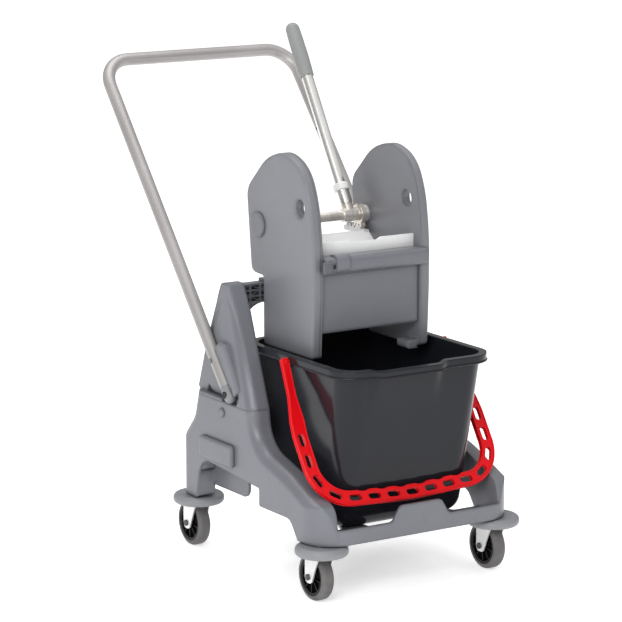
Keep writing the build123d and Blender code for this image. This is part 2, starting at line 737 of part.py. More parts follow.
def crosspiece():
    """The arched bridge between the legs, with rows of open cells in its front."""
    half = COLUMN_TOP_INNER + 4
    arch = outline(
        [
            (-half, CROSS_TOP, 0),
            (-half, CROSS_BOTTOM - CROSS_DROP, 0),
            (-half + 34, CROSS_BOTTOM, 40),
            (half - 34, CROSS_BOTTOM, 40),
            (half, CROSS_BOTTOM - CROSS_DROP, 0),
            (half, CROSS_TOP, 0),
        ]
    )
    bridge = along_y(arch, CROSS_FRONT, CROSS_FRONT + CROSS_DEPTH)
    pitch = 2 * (COLUMN_TOP_INNER - 2 * CROSS_WEB) / CROSS_CELLS
    row_pitch = (CROSS_TOP - CROSS_BOTTOM - CROSS_WEB) / CROSS_ROWS
    cell = block(
        -(pitch - CROSS_WEB) / 2,
        (pitch - CROSS_WEB) / 2,
        CROSS_FRONT,
        CROSS_FRONT + CROSS_DEPTH - CROSS_WEB,
        CROSS_BOTTOM + CROSS_WEB,
        CROSS_BOTTOM + row_pitch,
    )
    cells = [
        Pos((column - (CROSS_CELLS - 1) / 2) * pitch, 0, row * row_pitch) * cell
        for column in range(CROSS_CELLS)
        for row in range(CROSS_ROWS)
    ]
    return bridge - cells


def column_arch():
    leg = column_leg() + tongue(0)
    hole = rod_x(HANDLE_PIVOT_Y, HANDLE_PIVOT_Z, PIVOT_RADIUS, -RECESS_X, -RECESS_X + PIVOT_DEPTH)
    leg -= hole
    leg -= rod_x(BOLT_Y, BOLT_Z, BOLT_RADIUS, -BASE_OUTER, -BASE_INNER)
    return leg + other_side(leg) + crosspiece()


def handle_pivot():
    pin = rod_x(HANDLE_PIVOT_Y, HANDLE_PIVOT_Z, PIVOT_RADIUS, -HANDLE_X, -RECESS_X + PIVOT_DEPTH)
    head_end = -HANDLE_X - HANDLE_RADIUS + 1.0
    head = rod_x(HANDLE_PIVOT_Y, HANDLE_PIVOT_Z, PIVOT_HEAD_RADIUS, head_end, head_end + PIVOT_HEAD_LENGTH)
    neck = rod_x(HANDLE_PIVOT_Y, HANDLE_PIVOT_Z, PIVOT_RADIUS, head_end, -HANDLE_X)
    return pin + neck + head


# Push handle


def push_handle_tube():
    route = FilletPolyline(
        (-HANDLE_X, HANDLE_END_ABOVE),
        (-HANDLE_X, HANDLE_LENGTH),
        (HANDLE_X, HANDLE_LENGTH),
        (HANDLE_X, HANDLE_END_ABOVE),
        radius=HANDLE_BEND,
    )
    section = Plane(origin=route @ 0, z_dir=route % 0)
    outer = sweep(section * Circle(HANDLE_RADIUS), path=route)
    inner = sweep(section * Circle(HANDLE_RADIUS - HANDLE_WALL), path=route)
    tube = outer - inner
    hole = Pos(0, BUTTON_REACH, 0) * rod_x(
        0, 0, BUTTON_RADIUS + SEAT_GAP, -HANDLE_X - HANDLE_RADIUS, -HANDLE_X
    )
    hole += Pos(0, HANDLE_HOLE_REACH, 0) * rod_x(
        0, 0, HANDLE_HOLE_RADIUS, -HANDLE_X, -HANDLE_X + HANDLE_RADIUS
    )
    tube -= hole
    tube -= other_side(hole)
    return handle_plane() * tube


def handle_end():
    """Plastic end of a handle leg: a plug in the tube and a rounded eye on the pivot."""
    eye = rod_y(0, 0, HANDLE_RADIUS, -HANDLE_END_BELOW, HANDLE_END_ABOVE)
    eye = fillet(eye.faces().sort_by(Axis.Y)[0].edges(), HANDLE_RADIUS - 1.0)
    eye += rod_y(0, 0, HANDLE_RADIUS - HANDLE_WALL, HANDLE_END_ABOVE, HANDLE_END_ABOVE + HANDLE_SPIGOT)
    eye -= rod_x(0, 0, PIVOT_RADIUS + RUNNING_FIT, -HANDLE_RADIUS, HANDLE_RADIUS)
    head_room = PIVOT_HEAD_LENGTH + 1.0 + LOOSE_FIT
    eye -= rod_x(0, 0, PIVOT_HEAD_RADIUS + LOOSE_FIT, -HANDLE_RADIUS, -HANDLE_RADIUS + head_room)
    return handle_plane() * Pos(-HANDLE_X, 0, 0) * eye


def lock_button():
    outer = -HANDLE_X - HANDLE_RADIUS - BUTTON_PROUD
    button = rod_x(0, 0, BUTTON_RADIUS, outer, outer + BUTTON_DEPTH)
    nose = button.faces().sort_by(Axis.X)[0].edges()
    return handle_plane() * Pos(0, BUTTON_REACH, 0) * fillet(nose, 1.4)


# Pail


def pail_plan(height, inset):
    """Top view of the pail wall at a height above its foot, drawn in by an inset."""
    share = height / (RIM_Z - PAIL_FOOT_Z)
    half = PAIL_HALF_WIDTH - PAIL_TAPER_SIDE * (1 - share) - inset
    front = PAIL_FRONT + PAIL_TAPER_FRONT * (1 - share) + inset
    rear = PAIL_REAR - PAIL_TAPER_REAR * (1 - share) - inset
    corner = PAIL_FOOT_CORNER + (PAIL_CORNER - PAIL_FOOT_CORNER) * share - inset
    return outline([(-half, front, corner), (half, front, corner), (half, rear, corner), (-half, rear, corner)])


def pail_body(inset):
    """The tapered pail as a full solid, drawn in by an inset on every side."""
    full = RIM_Z - PAIL_FOOT_Z
    foot = Pos(0, 0, PAIL_FOOT_Z + inset) * pail_plan(inset, inset)
    rim = Pos(0, 0, RIM_Z) * pail_plan(full, inset)
    body = loft([foot, rim])
    return fillet(body.faces().sort_by(Axis.Z)[0].edges(), PAIL_FOOT_ROUND - inset)


def pail():
    full = RIM_Z - PAIL_FOOT_Z
    rim_plan = pail_plan(full, 0)
    collar = along_z(offset(rim_plan, RIM_OVERHANG), RIM_Z - RIM_HEIGHT, RIM_Z)
    under = offset(rim_plan, RIM_OVERHANG - PAIL_WALL)
    collar -= along_z(under, RIM_Z - RIM_HEIGHT, RIM_Z - PAIL_WALL)
    lug_end = PAIL_HALF_WIDTH + RIM_OVERHANG + LUG_PROUD
    lug = rod_x(BAIL_PIVOT_Y, BAIL_PIVOT_Z, BAIL_BOSS_RADIUS, -lug_end, -PAIL_HALF_WIDTH + RIM_OVERHANG)
    shell = pail_body(0) + collar + lug + other_side(lug)
    shell -= pail_body(PAIL_WALL)
    lug_hole = rod_x(
        BAIL_PIVOT_Y, BAIL_PIVOT_Z, BAIL_PEG_RADIUS + LOOSE_FIT, -lug_end, -PAIL_HALF_WIDTH
    )
    return shell - lug_hole - other_side(lug_hole)


# Bail


def bail_hang():
    """How far out the bail hangs: its low edge stays above the base, and it rests clear of the pail."""
    above_base = math.acos((BAIL_PIVOT_Z - BAIL_LOW) / (BAIL_REACH + BAIL_WIDTH / 2))
    lean = math.atan(PAIL_TAPER_FRONT / (RIM_Z - PAIL_FOOT_Z))
    depth = math.cos(lean) * (BAIL_PIVOT_Y - PAIL_FRONT) - math.sin(lean) * (RIM_Z - BAIL_PIVOT_Z)
    flat_half = PAIL_HALF_WIDTH - PAIL_TAPER_SIDE - PAIL_FOOT_CORNER
    top_edge = BAIL_REACH - BAIL_BOW * flat_half / BAIL_HALF_SPAN - BAIL_WIDTH / 2
    back = BAIL_THICKNESS / 2
    swing = math.asin((depth + BAIL_REST_GAP) / math.hypot(top_edge, back))
    off_pail = math.atan2(back, top_edge) + swing - lean
    return max(above_base, off_pail)


def bail_plane():
    """The plane of the hanging bail: X across, Y down along the arms from the pivot axis."""
    hang = bail_hang()
    return Plane(
        origin=(0, BAIL_PIVOT_Y, BAIL_PIVOT_Z),
        x_dir=(1, 0, 0),
        z_dir=(0, -math.cos(hang), math.sin(hang)),
    )


def bail_line():
    """Middle line of the bail strap, from the left pivot round to the right one."""
    return FilletPolyline(
        (-BAIL_PIVOT_X, 0),
        (-BAIL_HALF_SPAN, -BAIL_SHOULDER),
        (-BAIL_HALF_SPAN, -BAIL_REACH + BAIL_BOW),
        (0, -BAIL_REACH),
        (BAIL_HALF_SPAN, -BAIL_REACH + BAIL_BOW),
        (BAIL_HALF_SPAN, -BAIL_SHOULDER),
        (BAIL_PIVOT_X, 0),
        radius=[60, BAIL_BEND, 400, BAIL_BEND, 60],
    )


def bail_arm_taper():
    """The part of the left arm that widens from the narrow arm into the strap."""
    splay = BAIL_HALF_SPAN - BAIL_PIVOT_X
    slant = math.hypot(splay, BAIL_SHOULDER) / BAIL_SHOULDER
    narrow = slant * BAIL_ARM_WIDTH / 2
    wide = slant * BAIL_WIDTH / 2
    start = BAIL_ARM_LENGTH - BAIL_TAPER
    start_x = -BAIL_PIVOT_X - splay * start / BAIL_SHOULDER
    end_x = -BAIL_PIVOT_X - splay * BAIL_ARM_LENGTH / BAIL_SHOULDER
    corners = [
        (start_x - narrow, -start),
        (start_x + narrow, -start),
        (end_x + wide, -BAIL_ARM_LENGTH),
        (end_x - wide, -BAIL_ARM_LENGTH),
    ]
    return make_face(Polyline(*corners, close=True))


def bail():
    line = bail_line()
    spine = Wire(line.edges())
    strap = make_face(spine.offset_2d(BAIL_WIDTH / 2, side=Side.BOTH, closed=True))
    arms = make_face(spine.offset_2d(BAIL_ARM_WIDTH / 2, side=Side.BOTH, closed=True))
    low_half = Pos(0, -BAIL_ARM_LENGTH - BAIL_REACH) * Rectangle(4 * BAIL_HALF_SPAN, 2 * BAIL_REACH)
    tip = Pos(-BAIL_PIVOT_X, 0) * Rectangle(BAIL_ARM_WIDTH, BAIL_ARM_WIDTH) + bail_arm_taper()
    strap = (strap & low_half) + arms + tip + mirror(tip, about=Plane.YZ)
    total = line.length
    slots = []
    for index in range(BAIL_SLOTS):
        share = 0.5 + (index - (BAIL_SLOTS - 1) / 2) * BAIL_SLOT_PITCH / total
        spot = line @ share
        run = line % share
        slot = SlotOverall(BAIL_SLOT_LENGTH, BAIL_SLOT_WIDTH)
        slots.append(Pos(spot.X, spot.Y) * Rot(0, 0, math.degrees(math.atan2(run.Y, run.X))) * slot)
    for index in range(BAIL_SCALLOPS):
        share = 0.5 + (index - (BAIL_SCALLOPS - 1) / 2) * BAIL_SLOT_PITCH / total
        spot = line @ share
        rise = BAIL_WIDTH / 2 - BAIL_SCALLOP_DEPTH + BAIL_SCALLOP_RADIUS
        slots.append(Pos(spot.X, spot.Y + rise) * Circle(BAIL_SCALLOP_RADIUS))
    for slot in slots:
        strap -= slot
    band = extrude(strap, BAIL_THICKNESS / 2, both=True)
    peg_tip = PAIL_HALF_WIDTH + 3.0
    peg = rod_x(0, 0, BAIL_PEG_RADIUS, -BAIL_PIVOT_X, -peg_tip)
    return bail_plane() * (band + peg + other_side(peg))


# Wringer


def plate_face():
    """Side view of a wringer plate."""
    return outline(
        [
            (PLATE_REAR_LOW, PLATE_BOTTOM, 8),
            (PLATE_REAR_LOW, PLATE_SEAT_Z, 6),
            (PLATE_OVERHANG, PLATE_SEAT_Z + 2, 14),
            (PLATE_OVERHANG + 15, PLATE_REAR_CORNER_Z, 34),
            (PLATE_CREST_Y + 54, PLATE_TOP - 17, 100),
            (PLATE_CREST_Y, PLATE_TOP, 72),
            (PLATE_CREST_Y - 58, PLATE_TOP - 21, 74),
            (PLATE_CREST_Y - 83, PLATE_TOP - 77, 180),
            (PLATE_FRONT, PLATE_TOP - 147, 400),
            (PLATE_FRONT, PLATE_BOTTOM + 100, 200),
            (PLATE_FRONT + 4, PLATE_BOTTOM, 8),
        ]
    )


def screw_places():
    """Liner screws, as (Y, Z) near the corners of a plate."""
    return [
        (SIEVE_FRONT - 1.5 * SCREW_HEAD_RADIUS, PANEL_BOTTOM + 4 * SCREW_HEAD_RADIUS),
        (SIEVE_FRONT - 1.5 * SCREW_HEAD_RADIUS, RAIL_BOTTOM - 4 * SCREW_HEAD_RADIUS),
        (PLATE_REAR_LOW - 3 * SCREW_HEAD_RADIUS, PANEL_BOTTOM + 4 * SCREW_HEAD_RADIUS),
        (PLATE_OVERHANG - 6, SHAFT_Z - 50),
    ]


def side_plate():
    """The left outer shell, hollow from its inner side."""
    face = plate_face()
    plate = along_x(face, -PLATE_OUTER, -LINER_OUTER)
    rim = plate.faces().sort_by(Axis.X)[0].edges()
    plate = fillet(rim, PLATE_EDGE)
    hollow = along_x(offset(face, -PLATE_WALL), -PLATE_OUTER + PLATE_WALL, -LINER_OUTER)
    hollow -= rod_x(HOLE_Y, HOLE_Z, HOLE_RADIUS + BOSS_WALL, -PLATE_OUTER, -LINER_OUTER)
    hollow -= rod_x(SHAFT_Y, SHAFT_Z, BUSH_RADIUS + BOSS_WALL, -PLATE_OUTER, -LINER_OUTER)
    for y, z in screw_places():
        hollow -= rod_x(y, z, SCREW_HEAD_RADIUS, -PLATE_OUTER, -LINER_OUTER)
    plate -= hollow
    plate -= rod_x(SHAFT_Y, SHAFT_Z, BUSH_RADIUS, -PLATE_OUTER, -LINER_OUTER)
    for y, z in screw_places():
        plate -= rod_x(y, z, SCREW_RADIUS, -LINER_OUTER - SCREW_DEPTH, -LINER_OUTER)
    plate -= rod_x(HOLE_Y, HOLE_Z, HOLE_RADIUS, -PLATE_OUTER, -LINER_OUTER)
    mouth = Pos(-PLATE_OUTER + HOLE_CHAMFER / 2, HOLE_Y, HOLE_Z) * Rot(0, 90, 0)
    cone = mouth * Cone(HOLE_RADIUS + HOLE_CHAMFER, HOLE_RADIUS, HOLE_CHAMFER)
    return plate - cone


def guide_slot(y, z):
    """A slot in a liner that lets one jaw pin travel with the press."""
    reach = GUIDE_PIN_RADIUS + LOOSE_FIT
    slot = rod_x(y, z, reach, -LINER_OUTER, -LINER_INNER)
    slot += rod_x(y - PRESS_TRAVEL, z, reach, -LINER_OUTER, -LINER_INNER)
    return slot + block(-LINER_OUTER, -LINER_INNER, y - PRESS_TRAVEL, y, z - reach, z + reach)


def jaw_y(z):
    """Y of the middle of the jaw sheet at a height."""
    bend_z = JAW_TOP_Z - (JAW_TOP_Y - JAW_FACE_Y) * math.tan(math.radians(JAW_SLOPE))
    if z < bend_z:
        return JAW_FACE_Y + JAW_THICKNESS / 2
    return JAW_FACE_Y + (z - bend_z) / math.tan(math.radians(JAW_SLOPE)) + JAW_THICKNESS / 2


def plate_liner():
    """The left flat inner sheet."""
    sheet = along_x(plate_face(), -LINER_OUTER, -LINER_INNER)
    sheet -= rod_x(HOLE_Y, HOLE_Z, HOLE_RADIUS, -LINER_OUTER, -LINER_INNER)
    sheet -= rod_x(SHAFT_Y, SHAFT_Z, BUSH_RADIUS, -LINER_OUTER, -LINER_INNER)
    for y, z in screw_places():
        sheet -= rod_x(y, z, SCREW_RADIUS, -LINER_OUTER, -LINER_INNER)
    for z in (GUIDE_LOW_Z, GUIDE_HIGH_Z):
        sheet -= guide_slot(jaw_y(z), z)
    return sheet


def plate_foot():
    """The short foot that stands in from the lower front corner of the right liner."""
    front = PLATE_FRONT + 2 * PLATE_EDGE
    foot = block(
        LINER_INNER - PLATE_FOOT_REACH,
        LINER_INNER,
        front,
        front + PLATE_FOOT_DEPTH,
        PLATE_BOTTOM - PLATE_FOOT_DROP,
        PLATE_BOTTOM - PLATE_FOOT_DROP + PLATE_FOOT_HEIGHT,
    )
    return fillet(foot.faces().sort_by(Axis.X)[0].edges(), PLATE_FOOT_ROUND)


def wringer_screws():
    screws = []
    for y, z in screw_places():
        head = rod_x(y, z, SCREW_HEAD_RADIUS, -LINER_INNER, -LINER_INNER + SCREW_HEAD_LENGTH)
        head = fillet(head.faces().sort_by(Axis.X)[-1].edges(), SCREW_HEAD_LENGTH / 2)
        screw = head + rod_x(y, z, SCREW_RADIUS, -LINER_OUTER - SCREW_DEPTH, -LINER_INNER)
        screws += [screw, other_side(screw)]
    return Compound(children=screws)


def shaft_bush():
    sleeve = rod_x(SHAFT_Y, SHAFT_Z, BUSH_RADIUS, -PLATE_OUTER, -LINER_INNER)
    flange = rod_x(
        SHAFT_Y, SHAFT_Z, BUSH_FLANGE_RADIUS, -LINER_INNER, -LINER_INNER + BUSH_FLANGE_LENGTH
    )
    flange = fillet(flange.faces().sort_by(Axis.X)[-1].edges(), 1.2)
    bore = rod_x(SHAFT_Y, SHAFT_Z, SHAFT_RADIUS + RUNNING_FIT, -PLATE_OUTER, 0)
    return sleeve + flange - bore


def shaft_cap():
    cap = rod_x(SHAFT_Y, SHAFT_Z, CAP_RADIUS, -PLATE_OUTER - CAP_THICKNESS, -PLATE_OUTER)
    return fillet(cap.faces().sort_by(Axis.X)[0].edges(), CAP_THICKNESS / 2)


def latch_window(x0, x1):
    """The opening in the rail's front that the latch stem slides in."""
    middle = (RAIL_BOTTOM + RAIL_TOP) / 2
    half = LATCH_STEM / 2 + LOOSE_FIT
    return block(x0, x1, RAIL_FRONT, RAIL_FRONT + RAIL_WALL, middle - half, middle + half)


def front_rail():
    """A rounded hollow rail, open at its back, between the liners."""
    profile = outline(
        [
            (RAIL_FRONT, RAIL_BOTTOM, RAIL_EDGE),
            (RAIL_REAR, RAIL_BOTTOM, 1),
            (RAIL_REAR, RAIL_TOP, 1),
            (RAIL_FRONT, RAIL_TOP, RAIL_EDGE),
        ]
    )
    rail = along_x(profile, -LINER_INNER, LINER_INNER)
    inside = outline(
        [
            (RAIL_FRONT + RAIL_WALL, RAIL_BOTTOM + RAIL_WALL, RAIL_EDGE - RAIL_WALL),
            (RAIL_REAR, RAIL_BOTTOM + RAIL_WALL, 0),
            (RAIL_REAR, RAIL_TOP - RAIL_WALL, 0),
            (RAIL_FRONT + RAIL_WALL, RAIL_TOP - RAIL_WALL, RAIL_EDGE - RAIL_WALL),
        ]
    )
    rail -= along_x(inside, -LINER_INNER, LINER_INNER)
    rail += along_x(profile, LINER_INNER, LINER_INNER + RAIL_END) & block(
        LINER_INNER,
        LINER_INNER + RAIL_END,
        RAIL_FRONT,
        PLATE_FRONT - SEAT_GAP,
        RAIL_BOTTOM,
        RAIL_TOP,
    )
    rail += rail_grip()
    stem_left = latch_stem_left() - LOOSE_FIT
    return rail - latch_window(stem_left, stem_left + LATCH_STEM + LATCH_TRAVEL + 2 * LOOSE_FIT)


def rail_grip():
    """The raised part of the rail that fingers hold while the thumb slides the latch."""
    start = -LINER_INNER + RAIL_GRIP_START
    grip = outline(
        [
            (RAIL_FRONT - RAIL_GRIP_PROUD, RAIL_BOTTOM + RAIL_GRIP_PROUD, RAIL_EDGE),
            (RAIL_REAR - RAIL_EDGE, RAIL_BOTTOM + RAIL_GRIP_PROUD, 0),
            (RAIL_REAR - RAIL_EDGE, RAIL_TOP + RAIL_GRIP_PROUD, 2),
            (RAIL_FRONT - RAIL_GRIP_PROUD, RAIL_TOP + RAIL_GRIP_PROUD, RAIL_EDGE),
        ]
    )
    inside = block(
        start,
        start + RAIL_GRIP_LENGTH,
        RAIL_FRONT + RAIL_WALL,
        RAIL_REAR,
        RAIL_BOTTOM,
        RAIL_TOP - RAIL_WALL,
    )
    return along_x(grip, start, start + RAIL_GRIP_LENGTH) - inside


def latch_stem_left():
    """The left side of the latch stem at rest, under the right end of the thumb pad."""
    return -LINER_INNER - LATCH_OVERLAP + LATCH_LENGTH - LATCH_STEM - LOOSE_FIT


def rail_latch():
    """The ribbed thumb slide on the rail's left end."""
    left = -LINER_INNER - LATCH_OVERLAP
    middle = (RAIL_BOTTOM + RAIL_TOP) / 2
    half = RAIL_HEIGHT / 2 - RAIL_EDGE / 2
    front = RAIL_FRONT - SEAT_GAP - LATCH_PROUD
    pad = block(left, left + LATCH_LENGTH, front, RAIL_FRONT - SEAT_GAP, middle - half, middle + half)
    pitch = 2 * half / LATCH_RIBS
    for index in range(LATCH_RIBS):
        z = middle + (index - (LATCH_RIBS - 1) / 2) * pitch
        pad += rod_x(front, z, LATCH_RIB_RADIUS, left, left + LATCH_LENGTH)
    stem_half = LATCH_STEM / 2
    stem_middle = latch_stem_left() + stem_half
    inner = RAIL_FRONT + RAIL_WALL + SEAT_GAP
    pad += block(
        stem_middle - stem_half,
        stem_middle + stem_half,
        RAIL_FRONT - SEAT_GAP,
        inner + RAIL_WALL,
        middle - stem_half,
        middle + stem_half,
    )
    return pad + block(
        stem_middle - stem_half,
        stem_middle + stem_half,
        inner,
        inner + RAIL_WALL,
        middle - 2 * stem_half,
        middle + 2 * stem_half,
    )


def front_panel():
    return block(
        -LINER_INNER, LINER_INNER, PANEL_FRONT, PANEL_FRONT + PANEL_THICKNESS, PANEL_BOTTOM, RAIL_BOTTOM
    )


def sieve_wall():
    """The white front wall of the chamber, with its drain holes and a dip in the top edge."""
    face = outline(
        [
            (-LINER_INNER, FLOOR_BOTTOM, 0),
            (LINER_INNER, FLOOR_BOTTOM, 0),
            (LINER_INNER, SIEVE_TOP, 0),
            (SIEVE_NOTCH_HALF + 2 * SIEVE_NOTCH, SIEVE_TOP, 0),
            (SIEVE_NOTCH_HALF, SIEVE_TOP - SIEVE_NOTCH, 0),
            (-SIEVE_NOTCH_HALF, SIEVE_TOP - SIEVE_NOTCH, 0),
            (-SIEVE_NOTCH_HALF - 2 * SIEVE_NOTCH, SIEVE_TOP, 0),
            (-LINER_INNER, SIEVE_TOP, 0),
        ]
    )
    wall = along_y(face, SIEVE_FRONT, SIEVE_FRONT + SIEVE_THICKNESS)
    wall += block(
        -LINER_INNER, LINER_INNER, SIEVE_FRONT, SIEVE_FRONT + 2.5 * SIEVE_THICKNESS,
        RAIL_TOP, SIEVE_TOP - 2 * SIEVE_NOTCH,
    )
    for column in range(SIEVE_COLUMNS):
        for row in range(SIEVE_ROWS):
            x = (column - (SIEVE_COLUMNS - 1) / 2) * SIEVE_PITCH
            z = FLOOR_BOTTOM + 2 * SIEVE_PITCH + row * SIEVE_PITCH
            wall -= rod_y(x, z, SIEVE_HOLE_RADIUS, SIEVE_FRONT, SIEVE_FRONT + SIEVE_THICKNESS)
    return wall


def basket_floor():
    """The white drain floor between the sieve wall and the plates' rear edge."""
    front = SIEVE_FRONT + SIEVE_THICKNESS
    floor = block(
        -LINER_INNER, LINER_INNER, front, FLOOR_REAR, FLOOR_BOTTOM, FLOOR_BOTTOM + FLOOR_THICKNESS
    )
    pitch = 2 * (LINER_INNER - FLOOR_SLOT_WIDTH) / FLOOR_SLOTS
    for index in range(FLOOR_SLOTS):
        x = (index - (FLOOR_SLOTS - 1) / 2) * pitch
        half = FLOOR_SLOT_WIDTH / 2
        floor -= block(
            x - half,
            x + half,
            front + FLOOR_SLOT_WIDTH,
            FLOOR_REAR - FLOOR_SLOT_WIDTH,
            FLOOR_BOTTOM,
            FLOOR_BOTTOM + FLOOR_THICKNESS,
        )
    return floor


def hanger_bar():
    """The channel between the plates that hooks over the column's crosspiece."""
    front = CROSS_FRONT - LOOSE_FIT
    rear = CROSS_FRONT + CROSS_DEPTH + LOOSE_FIT
    seat = CROSS_TOP + SEAT_GAP
    outer = block(
        -LINER_INNER, LINER_INNER, front - HANGER_WALL, rear + HANGER_WALL,
        seat - HANGER_DROP, seat + HANGER_WALL,
    )
    channel = outer - block(-LINER_INNER, LINER_INNER, front, rear, seat - HANGER_DROP, seat)
    arm_top = PLATE_SEAT_Z + 30
    arm = block(
        -LINER_INNER, LINER_INNER, front - HANGER_WALL, front, seat, arm_top
    )
    return channel + arm


# Lever and press


def lever_place():
    """Moves a piece drawn upright over the shaft to the leaning lever."""
    return Pos(LEVER_X, SHAFT_Y, SHAFT_Z) * Rot(-LEVER_LEAN, 0, 0)


def lever_shaft():
    return rod_x(SHAFT_Y, SHAFT_Z, SHAFT_RADIUS, -SHAFT_HALF, SHAFT_HALF)


def lever_tee():
    tee = rod_x(0, 0, TEE_RADIUS, -TEE_HALF_LENGTH, TEE_HALF_LENGTH)
    tee += rod_z(0, 0, LEVER_TUBE_RADIUS, 0, FERRULE_START)
    tee += rod_z(0, 0, LEVER_TUBE_RADIUS - LEVER_TUBE_WALL, 0, TEE_SPIGOT)
    return lever_place() * (tee - rod_x(0, 0, SHAFT_RADIUS, -TEE_HALF_LENGTH, TEE_HALF_LENGTH))


def sleeve(inner, outer, low, high):
    """A plain ring on the lever."""
    return rod_z(0, 0, outer, low, high) - rod_z(0, 0, inner, low, high)


def lever_ferrule():
    ring = sleeve(
        LEVER_TUBE_RADIUS, LEVER_TUBE_RADIUS + FERRULE_WALL, FERRULE_START, FERRULE_START + FERRULE_LENGTH
    )
    return lever_place() * ring


def lever_collar():
    low = FERRULE_START + FERRULE_LENGTH
    ring = sleeve(LEVER_TUBE_RADIUS, LEVER_TUBE_RADIUS + COLLAR_WALL, low, low + COLLAR_LENGTH)
    rims = ring.edges().filter_by(GeomType.CIRCLE).group_by(SortBy.RADIUS)[-1]
    return lever_place() * fillet(rims, COLLAR_WALL / 2)


def lever_tube():
    top = LEVER_LENGTH - GRIP_RADIUS
    tube = sleeve(LEVER_TUBE_RADIUS - LEVER_TUBE_WALL, LEVER_TUBE_RADIUS, FERRULE_START, top)
    return lever_place() * tube


def lever_grip():
    """A slightly bulged hand grip with a domed top."""
    low = LEVER_LENGTH - GRIP_LENGTH
    middle = LEVER_LENGTH - GRIP_LENGTH / 2
    shoulder = LEVER_LENGTH - GRIP_NECK
    side = ThreePointArc((GRIP_NECK, low), (GRIP_RADIUS, middle), (GRIP_NECK, shoulder))
    dome = RadiusArc((GRIP_NECK, shoulder), (0, LEVER_LENGTH), -GRIP_NECK)
    closing = Polyline((0, LEVER_LENGTH), (0, low), (GRIP_NECK, low))
    body = revolve(Plane.XZ * make_face([side, dome, closing]), Axis.Z)
    bore = rod_z(0, 0, LEVER_TUBE_RADIUS, low, LEVER_LENGTH - GRIP_RADIUS)
    return lever_place() * (body - bore)


def involute(radius, angle):
    """A point of the involute of a circle."""
    return (
        radius * (math.cos(angle) + angle * math.sin(angle)),
        radius * (math.sin(angle) - angle * math.cos(angle)),
    )


def gear_tooth():
    """One tooth pointing along +Y, with its root sunk into the gear body."""
    base = GEAR_RADIUS * math.cos(math.radians(GEAR_PRESSURE_ANGLE))
    tip = GEAR_RADIUS + GEAR_MODULE
    root = GEAR_RADIUS - 1.25 * GEAR_MODULE
    pitch_roll = math.tan(math.radians(GEAR_PRESSURE_ANGLE))
    pitch_angle = pitch_roll - math.radians(GEAR_PRESSURE_ANGLE)
    half = (math.pi * GEAR_MODULE / 2 - GEAR_BACKLASH) / 2 / GEAR_RADIUS
    turn = half + pitch_angle
    tip_roll = math.sqrt((tip / base) ** 2 - 1)
    flank = []
    for step in range(5):
        x, y = involute(base, tip_roll * step / 4)
        flank.append((x * math.sin(turn) - y * math.cos(turn), x * math.cos(turn) + y * math.sin(turn)))
    right = Spline(*flank)
    left = Spline(*[(-x, y) for x, y in flank])
    crown = Line(flank[-1], (-flank[-1][0], flank[-1][1]))
    foot = Polyline(
        flank[0], (flank[0][0], root - 1), (-flank[0][0], root - 1), (-flank[0][0], flank[0][1])
    )
    return make_face([right, left, crown, foot])


def pinion():
    """The left toothed sector: its teeth span what the rack meets over the lever's travel."""
    root = GEAR_RADIUS - 1.25 * GEAR_MODULE
    pitch = 360 / GEAR_TEETH
    count = math.ceil(LEVER_TRAVEL / pitch) + 2
    face = Circle(root)
    for index in range(count):
        face += Rot(0, 0, 180 + (index - 1) * pitch) * gear_tooth()
    gear = along_x(face, -GEAR_OUTER_X, -GEAR_INNER_X)
    gear = Pos(0, SHAFT_Y, SHAFT_Z) * gear
    return gear - rod_x(SHAFT_Y, SHAFT_Z, SHAFT_RADIUS, -GEAR_OUTER_X, -GEAR_INNER_X)


def rack_face():
    """Side view of a rack: straight-flanked teeth under the shaft, on a bar."""
    circular_pitch = math.pi * GEAR_MODULE
    lean = math.tan(math.radians(GEAR_PRESSURE_ANGLE))
    half = (circular_pitch / 2 - GEAR_BACKLASH) / 2
    low = RACK_PITCH_Z - 1.25 * GEAR_MODULE
    high = RACK_PITCH_Z + 0.9 * GEAR_MODULE
    count = math.ceil(PRESS_TRAVEL / circular_pitch) + 1
    first = SHAFT_Y - circular_pitch / 2
    rear = first + count * circular_pitch
    front = JAW_TOP_Y - 4
    bottom = low - RACK_BODY
    bar = outline([(front, low, 0), (rear, low, 0), (rear, bottom, 0), (front, bottom, 0)])
    foot = half + (RACK_PITCH_Z - low) * lean
    tip = half - (high - RACK_PITCH_Z) * lean
    tooth = outline(
        [
            (-foot, low - 1, 0),
            (-foot, low, 0),
            (-tip, high, 0),
            (tip, high, 0),
            (foot, low, 0),
            (foot, low - 1, 0),
        ]
    )
    for index in range(count):
        bar += Pos(first + index * circular_pitch, 0) * tooth
    return bar


def press_plate():
    """The white jaw: a sloping throat over an upright face, two racks and four guide pins."""
    slope = math.tan(math.radians(JAW_SLOPE))
    bend_z = JAW_TOP_Z - (JAW_TOP_Y - JAW_FACE_Y) * slope
    thick_z = JAW_THICKNESS / math.cos(math.radians(JAW_SLOPE))
    side = outline(
        [
            (JAW_FACE_Y, JAW_BOTTOM, 0),
            (JAW_FACE_Y, bend_z, 12),
            (JAW_TOP_Y, JAW_TOP_Z, 0),
            (JAW_TOP_Y, JAW_TOP_Z - thick_z, 0),
            (JAW_FACE_Y + JAW_THICKNESS, bend_z - thick_z + JAW_THICKNESS * slope, 8),
            (JAW_FACE_Y + JAW_THICKNESS, JAW_BOTTOM, 0),
        ]
    )
    jaw = along_x(side, -JAW_HALF, JAW_HALF)
    rack = along_x(rack_face(), -GEAR_OUTER_X, -GEAR_INNER_X)
    jaw += rack + other_side(rack)
    for z in (GUIDE_LOW_Z, GUIDE_HIGH_Z):
        pin = rod_x(jaw_y(z), z, GUIDE_PIN_RADIUS, -LINER_OUTER + LOOSE_FIT, -JAW_HALF + GUIDE_PIN_RADIUS)
        jaw += pin + other_side(pin)
    return jaw


